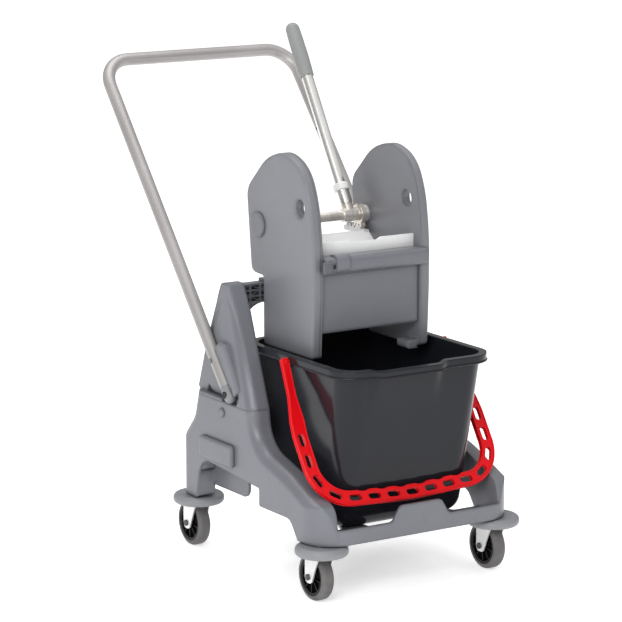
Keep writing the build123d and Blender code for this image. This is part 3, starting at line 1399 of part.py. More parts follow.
def main():
    os.makedirs("parts", exist_ok=True)
    for name, (x, y) in CORNERS.items():
        wheel_place = Pos(x, y + CASTOR_TRAIL, WHEEL_RADIUS)
        save(wheel_place * tyre(), f"tyre_{name}")
        save(wheel_place * hub(), f"hub_{name}")
        save(wheel_place * axle(), f"axle_{name}")
        save(wheel_place * fork(), f"fork_{name}")
        save(bumper(x, y), f"bumper_{name}")
    save(Compound(children=[castor_stem(x, y) for x, y in CORNERS.values()]), "castor_stems")
    save(base_frame(), "base_frame")
    save(column_arch(), "column_arch")
    save(push_handle_tube(), "push_handle_tube")
    save(pail(), "pail")
    save(bail(), "bail")
    pairs = {
        "side_cover": side_cover(),
        "handle_end": handle_end(),
        "lock_button": lock_button(),
        "side_plate": side_plate(),
        "shaft_bush": shaft_bush(),
        "shaft_cap": shaft_cap(),
        "pinion": pinion(),
    }
    for name, left in pairs.items():
        save(left, f"{name}_left")
        save(other_side(left), f"{name}_right")
    liner = plate_liner()
    save(liner, "plate_liner_left")
    save(other_side(liner) + plate_foot(), "plate_liner_right")
    bolt = column_bolt()
    save(Compound(children=[bolt, other_side(bolt)]), "column_bolts")
    pivot = handle_pivot()
    save(Compound(children=[pivot, other_side(pivot)]), "handle_pivots")
    save(wringer_screws(), "wringer_screws")
    save(front_rail(), "front_rail")
    save(rail_latch(), "rail_latch")
    save(front_panel(), "front_panel")
    save(sieve_wall(), "sieve_wall")
    save(basket_floor(), "basket_floor")
    save(hanger_bar(), "hanger_bar")
    save(lever_shaft(), "lever_shaft")
    save(lever_tee(), "lever_tee")
    save(lever_ferrule(), "lever_ferrule")
    save(lever_collar(), "lever_collar")
    save(lever_tube(), "lever_tube")
    save(lever_grip(), "lever_grip")
    save(press_plate(), "press_plate")


main()
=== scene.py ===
# %% [markdown]
# # A mop trolley, dressed in Blender
# The solids of this trolley come from a CAD model that is already exact: every wheel, pin and plate is in
# its place. This lesson adds what CAD leaves out: soft edges, small fittings, and finishes that look like
# moulded plastic, rubber, zinc and chrome. We could model the trolley afresh, but its sizes might drift. So
# the first cell loads the CAD model as a fixed frame.

# %% Load the frame
import bpy
import bmesh
import json
import math
from mathutils import Color, Matrix, Vector


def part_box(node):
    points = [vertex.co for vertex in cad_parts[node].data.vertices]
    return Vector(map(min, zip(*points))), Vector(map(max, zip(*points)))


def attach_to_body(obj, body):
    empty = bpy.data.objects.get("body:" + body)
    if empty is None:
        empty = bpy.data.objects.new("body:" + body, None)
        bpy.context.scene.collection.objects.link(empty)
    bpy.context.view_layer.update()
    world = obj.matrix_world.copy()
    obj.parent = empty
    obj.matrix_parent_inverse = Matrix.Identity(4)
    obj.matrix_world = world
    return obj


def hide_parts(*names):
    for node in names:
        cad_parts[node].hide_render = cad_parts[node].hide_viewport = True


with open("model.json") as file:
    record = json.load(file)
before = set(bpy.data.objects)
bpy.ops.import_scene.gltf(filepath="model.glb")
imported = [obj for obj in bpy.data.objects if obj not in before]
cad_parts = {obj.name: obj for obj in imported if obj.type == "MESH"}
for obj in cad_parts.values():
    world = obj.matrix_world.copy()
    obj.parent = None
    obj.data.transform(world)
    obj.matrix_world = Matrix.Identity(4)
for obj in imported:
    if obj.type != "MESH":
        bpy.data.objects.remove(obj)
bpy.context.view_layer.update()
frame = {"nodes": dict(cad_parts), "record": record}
nodes = frame["nodes"]

# %% [markdown]
# ## Camera
# A product picture is taken from far away with a long lens, which keeps upright edges nearly parallel.
# This camera stands in front of the trolley, to its left and a little above it. It could be aimed with a
# Track To constraint, but a product camera is never rolled, so two plain angles do the same and leave
# nothing to be solved later.

# %% Camera
CAMERA_PLACE = (-2.6253, -3.9905, 1.3918)
CAMERA_DOWN = math.radians(11.40)
CAMERA_TURN = math.radians(-32.67)
CAMERA_LENS = 168.2
SENSOR_WIDTH = 36.0
FAR_END = 200.0


def stand(name, data):
    """Put a camera, lamp or mesh into the scene as an object at the origin."""
    thing = bpy.data.objects.new(name, data)
    bpy.context.scene.collection.objects.link(thing)
    return thing


camera_data = bpy.data.cameras.new("camera")
camera_data.lens = CAMERA_LENS
camera_data.sensor_width = SENSOR_WIDTH
camera_data.clip_end = FAR_END
camera = stand("camera", camera_data)
camera.location = CAMERA_PLACE
camera.rotation_euler = (math.pi / 2 - CAMERA_DOWN, 0.0, CAMERA_TURN)
bpy.context.scene.camera = camera
print("camera with a", CAMERA_LENS, "mm lens")

# %% [markdown]
# ## Sums of wires
# A material in Blender is a graph of nodes. It could be drawn by hand in the editor or spelled out link by
# link, but both soon get long. This small class wraps one output socket and lets us write sums such as
# `0.3 * (1 - mask)`. Each sign adds one Math node, whichever side of it the wire stands on.


# %% Sums of wires
class Wire:
    """One output socket that can be used in a sum."""

    def __init__(self, graph, output):
        self.graph = graph
        self.output = output

    def __add__(self, other):
        return self.graph.maths("ADD", self, other)

    def __radd__(self, other):
        return self.graph.maths("ADD", other, self)

    def __sub__(self, other):
        return self.graph.maths("SUBTRACT", self, other)

    def __rsub__(self, other):
        return self.graph.maths("SUBTRACT", other, self)

    def __mul__(self, other):
        return self.graph.maths("MULTIPLY", self, other)

    def __rmul__(self, other):
        return self.graph.maths("MULTIPLY", other, self)


print("wires can be added, subtracted and multiplied")

# %% [markdown]
# ## One way to make any node
# The finishes, the sky and the recipes for repeated parts are all node trees, and each could have code of
# its own. One class serves all three. Its method `node` adds a node of any type, sets its options, such as
# the operation of a Math node or the stops of a colour ramp, and then its inputs. Options come first,
# because some of them change which inputs a node has.


# %% One way to make any node
def socket_of(sockets, key):
    """The socket with this identifier or name."""
    return next(socket for socket in sockets if key in (socket.identifier, socket.name))


class Graph:
    """A node tree being built."""

    def __init__(self, tree):
        self.tree = tree

    def feed(self, socket, value):
        """Link a wire to a socket, or set a plain value on it."""
        if isinstance(value, Wire):
            self.tree.links.new(value.output, socket)
        else:
            socket.default_value = value

    def node(self, kind, settings=None, inputs=None, out=None):
        """Add a node and return the output that is asked for, or its first one."""
        made = self.tree.nodes.new(kind)
        for name, value in (settings or {}).items():
            if name == "stops":
                for stop, (place, tone) in zip(made.color_ramp.elements, value):
                    stop.position = place
                    stop.color = tone
            else:
                setattr(made, name, value)
        for key, value in (inputs or {}).items():
            self.feed(socket_of(made.inputs, key), value)
        return Wire(self, socket_of(made.outputs, out) if out else made.outputs[0])

    def maths(self, operation, first, second):
        """The Math node that a sum of wires adds."""
        return self.node("ShaderNodeMath", {"operation": operation}, {"Value": first, "Value_001": second})


print("node trees can be built")

# %% [markdown]
# ## The start of every finish
# Every finish on the trolley, from rubber to chrome, is one Principled shader with a few patterns behind
# it. The patterns could be painted images, but then each piece would have to be unwrapped. A noise that
# reads Object coordinates needs no unwrapping, has no seams, and stays with a piece that moves.


# %% The start of every finish
class Finish(Graph):
    """A material being built: a Principled shader and whatever feeds it."""

    def __init__(self, name):
        self.material = bpy.data.materials.new(name)
        self.material.use_nodes = True
        super().__init__(self.material.node_tree)

    def set(self, **inputs):
        """Feed the shader, as in set(Base_Color=tone)."""
        shader = self.tree.nodes["Principled BSDF"]
        for name, value in inputs.items():
            self.feed(shader.inputs[name.replace("_", " ")], value)

    def place(self):
        """Where a point lies on the piece, in metres."""
        return self.node("ShaderNodeTexCoord", out="Object")

    def noise(self, place, scale, detail):
        """A cloudy pattern: a larger scale makes smaller clouds, more detail makes them rougher."""
        return self.node("ShaderNodeTexNoise", {}, {"Vector": place, "Scale": scale, "Detail": detail})

    def span(self, value, source, target=(0.0, 1.0)):
        """Stretch one range of values over another, and hold what lies outside at its ends."""
        ends = {"From Min": source[0], "From Max": source[1], "To Min": target[0], "To Max": target[1]}
        return self.node("ShaderNodeMapRange", {"clamp": True}, {"Value": value, **ends})

    def blend(self, share, first, second):
        """Two colours mixed: the first where the share is 0, the second where it is 1."""
        parts = {"Factor_Float": share, "A_Color": first, "B_Color": second}
        return self.node("ShaderNodeMix", {"data_type": "RGBA"}, parts, out="Result_Color")


print("finishes can be built")

# %% [markdown]
# ## Screen colours
# The tones of plastic and paint are easiest to name as screen colours, with red, green and blue from 0 to
# 255, while shaders reckon with linear light. The formula for that could be written out, but Blender's
# Color type already knows it. A second helper makes a colour lighter or darker.


# %% Screen colours
def linear(*screen):
    """A screen colour as the linear values that shaders use."""
    return (*Color([part / 255 for part in screen]).from_srgb_to_scene_linear(), 1.0)


def shade(colour, factor):
    """A colour made lighter or darker."""
    return (*[min(1.0, part * factor) for part in colour[:3]], 1.0)


print("middle grey on screen is", round(linear(128, 128, 128)[0], 3), "in linear light")

# %% [markdown]
# ## Soft moulded edges
# No mould makes a razor-sharp edge, so every edge of the real plastic is a little round and catches a line
# of light. The mesh could be bevelled, but a CAD mesh is loose triangles that a bevel would tear apart. The
# Bevel shader node bends only the normals near an edge. Comparing its normal with the plain one also tells
# where the edges are, which is where plastic gets rubbed.

# %% Soft moulded edges
EDGE_SAMPLES = 4
FLAT_TO_EDGE = (0.98, 0.72)


def soft_edges(made, reach):
    """A normal that bends over an edge, as if the edge were rounded."""
    return made.node("ShaderNodeBevel", {"samples": EDGE_SAMPLES}, {"Radius": reach})


def edge_mask(made, soft):
    """1 on sharp edges and 0 on flats."""
    plain = made.node("ShaderNodeNewGeometry", out="Normal")
    pair = {"Vector": soft, "Vector_001": plain}
    match = made.node("ShaderNodeVectorMath", {"operation": "DOT_PRODUCT"}, pair, out="Value")
    return made.span(match, FLAT_TO_EDGE)


print("edges are sought with", EDGE_SAMPLES, "samples")

# %% [markdown]
# ## Moulded plastic
# Most of the trolley is injection moulded. Such plastic is never one flat colour: the tone drifts a little
# over a hand's width, the tool leaves a fine grain and rubbed edges turn paler. Nooks also get painted shade:
# their colour is darkened where ambient occlusion finds them closed in. All of it could be painted on by
# hand, piece by piece. A recipe of three noises, the edge mask and a nook mask does it for every piece at
# once, and each plastic only has to name how much of each it wants.

# %% Moulded plastic
EVEN = (0.3, 0.7)
UNEVEN = (0.3, 0.75)
CLOUD_SCALE = 7.0
SCUFF_SCALE = 60.0
SCUFF_GLOSS = (-0.02, 0.03)
GRAIN_SCALE = 1500.0
GRAIN_GLOSS = (-0.02, 0.02)
GRAIN_STRENGTH = 0.3
NOOK_SAMPLES = 4
NOOK_REACH = 0.04
NOOK_TO_OPEN = (0.1, 0.8)
LEAST_WORN = 0.1
PALER = 1.5
# The dark tone towards which painted shade pulls the colour of nooks.
PAINTED_SHADE_TONE = 0.12


def moulded(
    name, colour, rough, depth=0.00012, drift=0.07, worn=0.25, nook_shade=0.45, round_off=0.0014, sheen=0.5
):
    """A moulded plastic: its colour and roughness, then grain, drift, wear, painted shade in nooks, edges and
    sheen.
    """
    made = Finish(name)
    place = made.place()
    cloud = made.noise(place, CLOUD_SCALE, detail=3.0)
    scuff = made.noise(place, SCUFF_SCALE, detail=4.0)
    grain = made.noise(place, GRAIN_SCALE, detail=1.0)
    soft = soft_edges(made, round_off)
    rubbed = edge_mask(made, soft) * made.span(scuff, EVEN, (LEAST_WORN, worn))
    # Painted shade: ambient occlusion finds closed-in nooks, and their colour is darkened there.
    room = made.node("ShaderNodeAmbientOcclusion", {"samples": NOOK_SAMPLES}, {"Distance": NOOK_REACH}, "AO")
    painted_nook_shade = nook_shade * (1 - made.span(room, NOOK_TO_OPEN))
    tone = made.blend(made.span(cloud, EVEN), shade(colour, 1 - drift), shade(colour, 1 + drift))
    tone = made.blend(rubbed, tone, shade(colour, PALER))
    tone = made.blend(painted_nook_shade, tone, shade(colour, PAINTED_SHADE_TONE))
    gloss = rough + made.span(scuff, UNEVEN, SCUFF_GLOSS) + made.span(grain, EVEN, GRAIN_GLOSS)
    bump = {"Strength": GRAIN_STRENGTH, "Distance": depth, "Height": grain, "Normal": soft}
    skin = made.node("ShaderNodeBump", {}, bump)
    made.set(Base_Color=tone, Roughness=gloss, Normal=skin, Specular_IOR_Level=sheen)
    return made.material


print("the plastic's tone drifts over", round(1 / CLOUD_SCALE, 2), "m")

# %% [markdown]
# ## Nine plastics
# Base and column, wringer plates, bumper discs, pail, bail, the white parts of the press, lever grip, wheel
# centres and lock buttons are nine plastics. Each could have a graph of its own, but they differ only in
# colour, gloss, wear and painted shade in nooks, so each is one line for the recipe above.

# %% Nine plastics
# The nook amount in each line says how strongly that plastic's nooks are darkened with painted shade.
body_plastic = moulded("body_plastic", linear(104, 106, 112), rough=0.3, nook_shade=0.22, round_off=0.007)
plate_plastic = moulded("plate_plastic", linear(114, 115, 120), rough=0.33, nook_shade=0.25, round_off=0.007)
disc_plastic = moulded("disc_plastic", linear(122, 124, 127), rough=0.45)
pail_plastic = moulded(
    "pail_plastic", linear(30, 31, 36), rough=0.14, depth=0.00004, worn=0.1, nook_shade=0.0, round_off=0.004,
    sheen=0.22,
)
red_plastic = moulded(
    "red_plastic", linear(208, 4, 16), rough=0.34, depth=0.00008, drift=0.05, worn=0.0, nook_shade=0.2, sheen=0.22
)
white_plastic = moulded(
    "white_plastic", linear(230, 230, 230), rough=0.4, depth=0.00008, drift=0.02, worn=0.1, nook_shade=0.2
)
grip_plastic = moulded("grip_plastic", linear(132, 133, 133), rough=0.5)
hub_plastic = moulded("hub_plastic", linear(12, 12, 14), rough=0.45, sheen=0.25)
button_plastic = moulded("button_plastic", linear(110, 110, 110), rough=0.4)
print("plastics", [finish.name for finish in bpy.data.materials if finish.name.endswith("_plastic")])

# %% [markdown]
# ## Chrome
# The lever's tube and ferrule are chromed. Chrome could be a perfect mirror, but in a white studio such a
# mirror shows nothing. Faint smears, which change tone and gloss together, make it read as handled metal.

# %% Chrome
SMEARED = (0.35, 0.75)

chrome = Finish("bright_chrome")
smear = chrome.noise(chrome.place(), scale=25.0, detail=5.0)
chrome_tone = chrome.blend(chrome.span(smear, SMEARED), linear(242, 241, 239), linear(226, 223, 219))
chrome.set(Base_Color=chrome_tone, Metallic=1.0, Roughness=chrome.span(smear, SMEARED, (0.2, 0.3)))
print("made", chrome.material.name)

# %% [markdown]
# ## Zinc plate
# Castor forks, pins, bushes and screws are zinc plated, which is duller than chrome and shows small
# crystals. An image of plated steel would do, but a Voronoi pattern makes such cells by rule, at any size.
# Here the cells vary the gloss, and a soft noise stains the colour.

# %% Zinc plate
PATCHY = (0.35, 0.7)
CRYSTAL_SCALE = 260.0
CRYSTAL_SPAN = (0.0, 0.8)

zinc = Finish("zinc_plate")
zinc_place = zinc.place()
crystals = zinc.node("ShaderNodeTexVoronoi", {}, {"Vector": zinc_place, "Scale": CRYSTAL_SCALE})
zinc_stain = zinc.span(zinc.noise(zinc_place, scale=30.0, detail=4.0), PATCHY)
zinc_tone = zinc.blend(zinc_stain, linear(232, 233, 232), linear(206, 207, 206))
zinc.set(Base_Color=zinc_tone, Metallic=0.7, Roughness=0.3 + zinc.span(crystals, CRYSTAL_SPAN, (0.0, 0.14)))
print("made", zinc.material.name)

# %% [markdown]
# ## Satin coat
# The push handle has a grey satin coat with the faint dimples of a sprayed skin. Dimples in the mesh would
# take millions of faces, so a fine noise feeds a Bump node instead. A broad noise drifts tone and gloss.

# %% Satin coat
satin = Finish("satin_coat")
satin_place = satin.place()
satin_cloud = satin.noise(satin_place, scale=9.0, detail=3.0)
dimples = satin.noise(satin_place, scale=420.0, detail=1.0)
satin_tone = satin.blend(satin.span(satin_cloud, EVEN), linear(152, 149, 148), linear(162, 159, 158))
satin_skin = satin.node("ShaderNodeBump", {}, {"Strength": 0.15, "Distance": 0.0001, "Height": dimples})
satin.set(Base_Color=satin_tone, Metallic=0.35, Roughness=satin.span(satin_cloud, EVEN, (0.3, 0.38)))
satin.set(Normal=satin_skin)
print("made", satin.material.name)

# %% [markdown]
# ## Turned steel
# The cross shaft and its tee are turned on a lathe, which leaves fine marks round the axis, and the steel
# has a faint brown cast. The marks are finer than a hair, so they aren't modelled. A Mapping node squeezes
# a noise along the shaft until it is all thin rings, and these vary the gloss. The pinions share the finish.

# %% Turned steel
RING_SCALE = (900.0, 12.0, 12.0)

turned = Finish("turned_steel")
turned_place = turned.place()
squeezed = turned.node("ShaderNodeMapping", {}, {"Vector": turned_place, "Scale": RING_SCALE})
lathe_marks = turned.noise(squeezed, scale=1.0, detail=3.0)
turned_stain = turned.span(turned.noise(turned_place, scale=45.0, detail=4.0), PATCHY)
turned_tone = turned.blend(turned_stain, linear(236, 231, 224), linear(208, 201, 192))
turned.set(Base_Color=turned_tone, Metallic=0.65, Roughness=turned.span(lathe_marks, EVEN, (0.24, 0.42)))
print("made", turned.material.name)

# %% [markdown]
# ## Dark steel
# The heads of the wheel axles are dark, oiled steel. They are as small as a fingertip, so one noise is
# enough: it makes the steel blotchy, and glossier where it is darker.

# %% Dark steel
dark = Finish("dark_steel")
blotch = dark.noise(dark.place(), scale=140.0, detail=4.0)
dark_tone = dark.blend(dark.span(blotch, PATCHY), linear(58, 58, 60), linear(92, 92, 94))
dark.set(Base_Color=dark_tone, Metallic=0.8, Roughness=dark.span(blotch, EVEN, (0.35, 0.5)))
print("made", dark.material.name)

# %% [markdown]
# ## Castor rubber
# The grey tyres are matt and a little dusty. Dust could be scattered as grains, but at this size it is only
# a change of tone, so a soft noise lightens the rubber in patches and a fine noise roughens its skin.

# %% Castor rubber
rubber = Finish("castor_rubber")
rubber_place = rubber.place()
dust = rubber.span(rubber.noise(rubber_place, scale=38.0, detail=5.0), PATCHY)
speck = rubber.noise(rubber_place, scale=900.0, detail=2.0)
rubber_tone = rubber.blend(dust, linear(86, 84, 84), linear(102, 100, 99))
rubber_skin = rubber.node("ShaderNodeBump", {}, {"Strength": 0.4, "Distance": 0.0001, "Height": speck})
rubber.set(Base_Color=rubber_tone, Roughness=rubber.span(speck, EVEN, (0.6, 0.75)), Normal=rubber_skin)
print("made", rubber.material.name)

# %% [markdown]
# ## Which node wears what
# On the real trolley every part comes in one material. They could be given out by hand in the outliner, but
# the names of the CAD nodes already say what each one is. A node takes the finish whose word its name starts
# with, and whatever is left over is body plastic.

# %% Which node wears what
finish_of = {
    "tyre": rubber.material, "hub": hub_plastic, "axle": dark.material, "fork": zinc.material,
    "bumper": disc_plastic, "castor_stems": zinc.material, "handle_pivots": hub_plastic,
    "wringer_screws": zinc.material, "push_handle_tube": satin.material, "handle_end": disc_plastic,
    "lock_button": button_plastic, "pail": pail_plastic, "bail": red_plastic, "side_plate": plate_plastic,
    "plate_liner": plate_plastic, "sieve_wall": white_plastic, "basket_floor": white_plastic,
    "press_plate": white_plastic, "pinion": turned.material, "shaft_bush": zinc.material,
    "lever_shaft": turned.material, "lever_tee": turned.material, "lever_ferrule": chrome.material,
    "lever_tube": chrome.material, "lever_collar": white_plastic, "lever_grip": grip_plastic,
}


def finish_for(node):
    return next((finish for word, finish in finish_of.items() if node.startswith(word)), body_plastic)


for name, solid in nodes.items():
    solid.material_slots[0].material = finish_for(name)
print("finishes given to", len(nodes), "nodes")

# %% [markdown]
# ## Recipes for repeated parts
# Ribs, beads and braces are the same small form over and over. They could be copied by hand or in a loop,
# but Geometry Nodes is made for this: a tree takes a few points or lines and grows the form on each of them.
# This class builds such a tree, gives it named inputs for its sizes, and closes it with the two nodes that
# turn the copies into real faces and paint them.


# %% Recipes for repeated parts
class Recipe(Graph):
    """A Geometry Nodes tree being built, with named inputs."""

    def __init__(self, name, **inputs):
        super().__init__(bpy.data.node_groups.new(name, "GeometryNodeTree"))
        sockets = self.tree.interface
        for label, kind in {"Geometry": "Geometry", **inputs}.items():
            sockets.new_socket(label, in_out="INPUT", socket_type="NodeSocket" + kind)
        sockets.new_socket("Geometry", in_out="OUTPUT", socket_type="NodeSocketGeometry")
        self.entry = self.tree.nodes.new("NodeGroupInput")

    def given(self, label):
        """One of the named inputs."""
        return Wire(self, self.entry.outputs[label])

    def close(self, shape):
        """Make instances real, paint them, and hand them out of the tree."""
        real = self.node("GeometryNodeRealizeInstances", {}, {"Geometry": shape})
        paint = {"Geometry": real, "Material": self.given("Finish")}
        way_out = self.tree.nodes.new("NodeGroupOutput")
        self.feed(way_out.inputs["Geometry"], self.node("GeometryNodeSetMaterial", {}, paint))
        return self.tree


print("recipes can be built")

# %% [markdown]
# ## Growing a recipe
# A recipe could stay on its object as a live modifier, but then the shape would be worked out anew each
# time, and other programs would not know it. So it runs once, on a seed object, and the outcome is kept as
# an ordinary mesh. The seed is thrown away.


# %% Growing a recipe
def grow(tree, name, start, **values):
    """Run a recipe on a starting mesh and keep the result as a plain mesh object."""
    seed = stand(name + "_seed", start)
    modifier = seed.modifiers.new("recipe", "NODES")
    modifier.node_group = tree
    for item in tree.interface.items_tree:
        if item.in_out == "INPUT" and item.name in values:
            modifier[item.identifier] = values[item.name]
    ready = seed.evaluated_get(bpy.context.evaluated_depsgraph_get())
    mesh = bpy.data.meshes.new_from_object(ready)
    mesh.name = name
    bpy.data.objects.remove(seed)
    return stand(name, mesh)


print("recipes can be run")

# %% [markdown]
# ## Riding along
# A spoke turns with its wheel, and a bead swings with its bail. Parenting could do that, but the frame
# already knows every body that moves. So a new piece is told which CAD node it belongs to: it rides with
# that node's body.

# %% Riding along
body_of_node = {}
for body, members in frame["record"]["behaviour"]["bodies"].items():
    body_of_node.update(dict.fromkeys(members, body))


def attach(piece, node):
    """Let a piece move with the body of a CAD node."""
    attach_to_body(piece, body_of_node[node])
    print(piece.name, "with", len(piece.data.polygons), "faces rides with", node)


print(len(body_of_node), "nodes to ride with")

# %% [markdown]
# ## The pouring lip
# The CAD pail has a straight front. On the real one the front of the rim swells forward into a shallow lip
# that fades out a hand's width below. It could be sculpted, but a rule is easier to correct: each point
# moves forward by an amount that is full between the two flanks and grows with height, and the rim itself
# dips a little.

# %% The pouring lip
LIP_LEFT = -0.098
LIP_RIGHT = 0.052
LIP_FLANK = 0.02
LIP_REACH = 0.0078
LIP_SWELL = 1.4
LIP_DEPTH = 0.085
LIP_DIP = 0.0028
LIP_DIP_BEND = 4
RIM_TOP = 0.381
WALL_BACK = -0.16
WALL_FADE = 0.03


def ease(share):
    """A soft step from 0 to 1."""
    share = min(1.0, max(0.0, share))
    return share * share * (3 - 2 * share)


def lip_shift(spot):
    """How a point of the pail moves: forward with height, and a little down along the rim."""
    share = ease((spot.x - LIP_LEFT) / LIP_FLANK) * ease((LIP_RIGHT - spot.x) / LIP_FLANK)
    share *= ease((WALL_BACK - spot.y) / WALL_FADE)
    height = max(0.0, (spot.z - RIM_TOP + LIP_DEPTH) / LIP_DEPTH)
    forward = LIP_REACH * share * height ** LIP_SWELL
    down = LIP_DIP * share * height ** LIP_DIP_BEND
    return Vector((0.0, -forward, -down))


print("the lip is", round(LIP_RIGHT - LIP_LEFT, 3), "m wide")

# %% [markdown]
# ## Points to bend
# The front of the CAD pail is a few large triangles with no points in between, so there is nothing to push.
# Subdividing would follow the triangles and leave a ragged grid. Slicing the wall with flat planes, upright
# and level, puts rows of points just where the lip bends. The triangles are welded first, because they come
# loose.

# %% Points to bend
WELD = 1e-6
GRID_X = 0.004
GRID_Z = 0.007


def bare_skin(mesh):
    """A welded copy of a mesh to edit."""
    skin = bmesh.new()
    skin.from_mesh(mesh)
    bmesh.ops.remove_doubles(skin, verts=skin.verts, dist=WELD)
    return skin


def cut_front(skin, middle, normal):
    """Slice the front wall and rim along one plane."""
    faces = [face for face in skin.faces if face.calc_center_median().y < WALL_BACK]
    edges = dict.fromkeys(edge for face in faces for edge in face.edges)
    verts = dict.fromkeys(vertex for face in faces for vertex in face.verts)
    bmesh.ops.bisect_plane(skin, geom=[*verts, *edges, *faces], dist=WELD, plane_co=middle, plane_no=normal)


pail_skin = bare_skin(nodes["pail"].data)
for step in range(math.ceil((LIP_RIGHT - LIP_LEFT) / GRID_X) + 1):
    cut_front(pail_skin, (LIP_LEFT + step * GRID_X, 0.0, 0.0), (1.0, 0.0, 0.0))
for step in range(math.ceil(LIP_DEPTH / GRID_Z)):
    cut_front(pail_skin, (0.0, 0.0, RIM_TOP - LIP_DEPTH + step * GRID_Z), (0.0, 0.0, 1.0))
print("the pail has", len(pail_skin.verts), "points to bend")

# %% [markdown]
# ## The pail's shell
# Now every point is pushed, and the bent skin becomes the pail that is seen. It could hide inside the CAD
# pail, but two skins in one place flicker, so it takes that node's place. Smooth shading with a limit on the
# angle keeps the walls soft and the rim crisp.

# %% The pail's shell
PAIL_CREASE = math.radians(32)

for vertex in pail_skin.verts:
    vertex.co += lip_shift(vertex.co)
pail_skin.verts.index_update()
pail_spots = [vertex.co[:] for vertex in pail_skin.verts]
pail_faces = [[vertex.index for vertex in face.verts] for face in pail_skin.faces]
pail_skin.free()
pail_mesh = bpy.data.meshes.new("pail_shell")
pail_mesh.from_pydata(pail_spots, [], pail_faces)
pail_mesh.shade_smooth()
pail_mesh.set_sharp_from_angle(angle=PAIL_CREASE)
pail_mesh.materials.append(pail_plastic)
pail_shell = stand("pail_shell", pail_mesh)
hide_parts("pail")
attach(pail_shell, "pail")

# %% [markdown]
# ## Edges to follow
# A moulded strap or rim has a thin raised bead along its edges, which stiffens it and spares the hand. The
# path of a bead could be typed in as points, but the CAD solid has it already: the sharp edges that lie on
# one face of the strap. The longest chain of them is the outline, and the short ones are slots.

# %% Edges to follow
SHARP = math.radians(40)


def longest_chain(edges):
    """The largest group of edges that hang together."""
    left = dict.fromkeys(edges)
    best = []
    while left:
        chain = [left.popitem()[0]]
        for edge in chain:
            joined = [other for vertex in edge.verts for other in vertex.link_edges if other in left]
            for other in dict.fromkeys(joined):
                del left[other]
                chain.append(other)
        best = max(best, chain, key=len)
    return best


def crease_lines(mesh, keep):
    """The longest line of sharp edges of a mesh that pass a test, as a mesh of lines."""
    source = bare_skin(mesh)
    sharp = [edge for edge in source.edges if len(edge.link_faces) == 2 and edge.calc_face_angle() > SHARP]
    chain = longest_chain(edge for edge in sharp if keep(edge.verts[0].co, edge.verts[1].co))
    spots = dict.fromkeys(vertex for edge in chain for vertex in edge.verts)
    number = {vertex: place for place, vertex in enumerate(spots)}
    lines = bpy.data.meshes.new(mesh.name + "_lines")
    lines.from_pydata([v.co[:] for v in spots], [[number[v] for v in edge.verts] for edge in chain], [])
    source.free()
    print("a line of", len(lines.edges), "edges found on", mesh.name)
    return lines


print("edges count as sharp above", round(math.degrees(SHARP)), "degrees")

# %% [markdown]
# ## The bead recipe
# A bead is a thin round rod that runs along a line. A curve with a bevel depth would draw one, but the same
# tree can serve every bead if it takes its radius as an input: the line becomes a curve, and a small circle
# is swept along it.

# %% The bead recipe
BEAD_SIDES = 10

bead_recipe = Recipe("bead", Finish="Material", Radius="Float")
bead_path = bead_recipe.node("GeometryNodeMeshToCurve", {}, {"Mesh": bead_recipe.given("Geometry")})
bead_size = {"Resolution": BEAD_SIDES, "Radius": bead_recipe.given("Radius")}
bead_ring = bead_recipe.node("GeometryNodeCurvePrimitiveCircle", {}, bead_size)
bead_skin = bead_recipe.node("GeometryNodeCurveToMesh", {}, {"Curve": bead_path, "Profile Curve": bead_ring})
bead_tree = bead_recipe.close(bead_recipe.node("GeometryNodeSetShadeSmooth", {}, {"Geometry": bead_skin}))
print("bead recipe with", len(bead_tree.nodes), "nodes")

# %% [markdown]
# ## Beads on the bail
# The red bail is a flat strap with a bead round both of its faces. To find the two outlines we need the
# strap's plane as it hangs. It could be measured on the mesh, but two lengths give it: how far the low edge
# hangs below the pivots, and how far it is from them. An edge belongs to a face if both its ends lie half
# the strap's thickness from that plane.

# %% Beads on the bail
BAIL_PIVOT = Vector((0.0, -0.0633, 0.371))
BAIL_DROP = 0.219
BAIL_EDGE = 0.263
BAIL_HANG = math.acos(BAIL_DROP / BAIL_EDGE)
BAIL_FRONT = Vector((0.0, -math.cos(BAIL_HANG), math.sin(BAIL_HANG)))
BAIL_HALF_THICK = 0.0035
BAIL_BEAD = 0.0014
ON_FACE = 1e-4


def on_bail_face(side):
    """A test for edges that lie on the front (1) or rear (-1) face of the strap."""
    def test(*ends):
        heights = [(end - BAIL_PIVOT).dot(BAIL_FRONT) for end in ends]
        return all(abs(height - side * BAIL_HALF_THICK) < ON_FACE for height in heights)
    return test


for side, label in ((1, "front"), (-1, "rear")):
    bail_lines = crease_lines(nodes["bail"].data, on_bail_face(side))
    bail_bead = grow(bead_tree, f"bail_bead_{label}", bail_lines, Finish=red_plastic, Radius=BAIL_BEAD)
    attach(bail_bead, "bail")

# %% [markdown]
# ## The bead under the rim
# The pail's rim ends below in a rounded foot. The same recipe draws it. Its line is the lowest outer edge of
# the rim, which has bent with the lip, so it is sought on the new shell and not on the CAD pail: edges at
# the right height, on a rectangle with round corners.

# %% The bead under the rim
RIM_LOW = 0.369
RIM_BEAD = 0.0017
RIM_BACK = 0.09
RIM_SIDE = 0.151
RIM_FRONT = -0.231
RIM_CORNER = 0.048


def outside_rim(spot):
    """True on the outer line of the rim, a rectangle with round corners."""
    over_x = max(0.0, abs(spot.x) - RIM_SIDE + RIM_CORNER)
    over_y = max(0.0, spot.y - RIM_BACK + RIM_CORNER, RIM_FRONT + RIM_CORNER - spot.y)
    return math.hypot(over_x, over_y) > RIM_CORNER - RIM_BEAD


def on_rim_foot(*ends):
    return all(RIM_LOW - LIP_DIP < end.z < RIM_LOW + ON_FACE and outside_rim(end) for end in ends)


rim_lines = crease_lines(pail_mesh, on_rim_foot)
attach(grow(bead_tree, "pail_rim_bead", rim_lines, Finish=pail_plastic, Radius=RIM_BEAD), "pail")

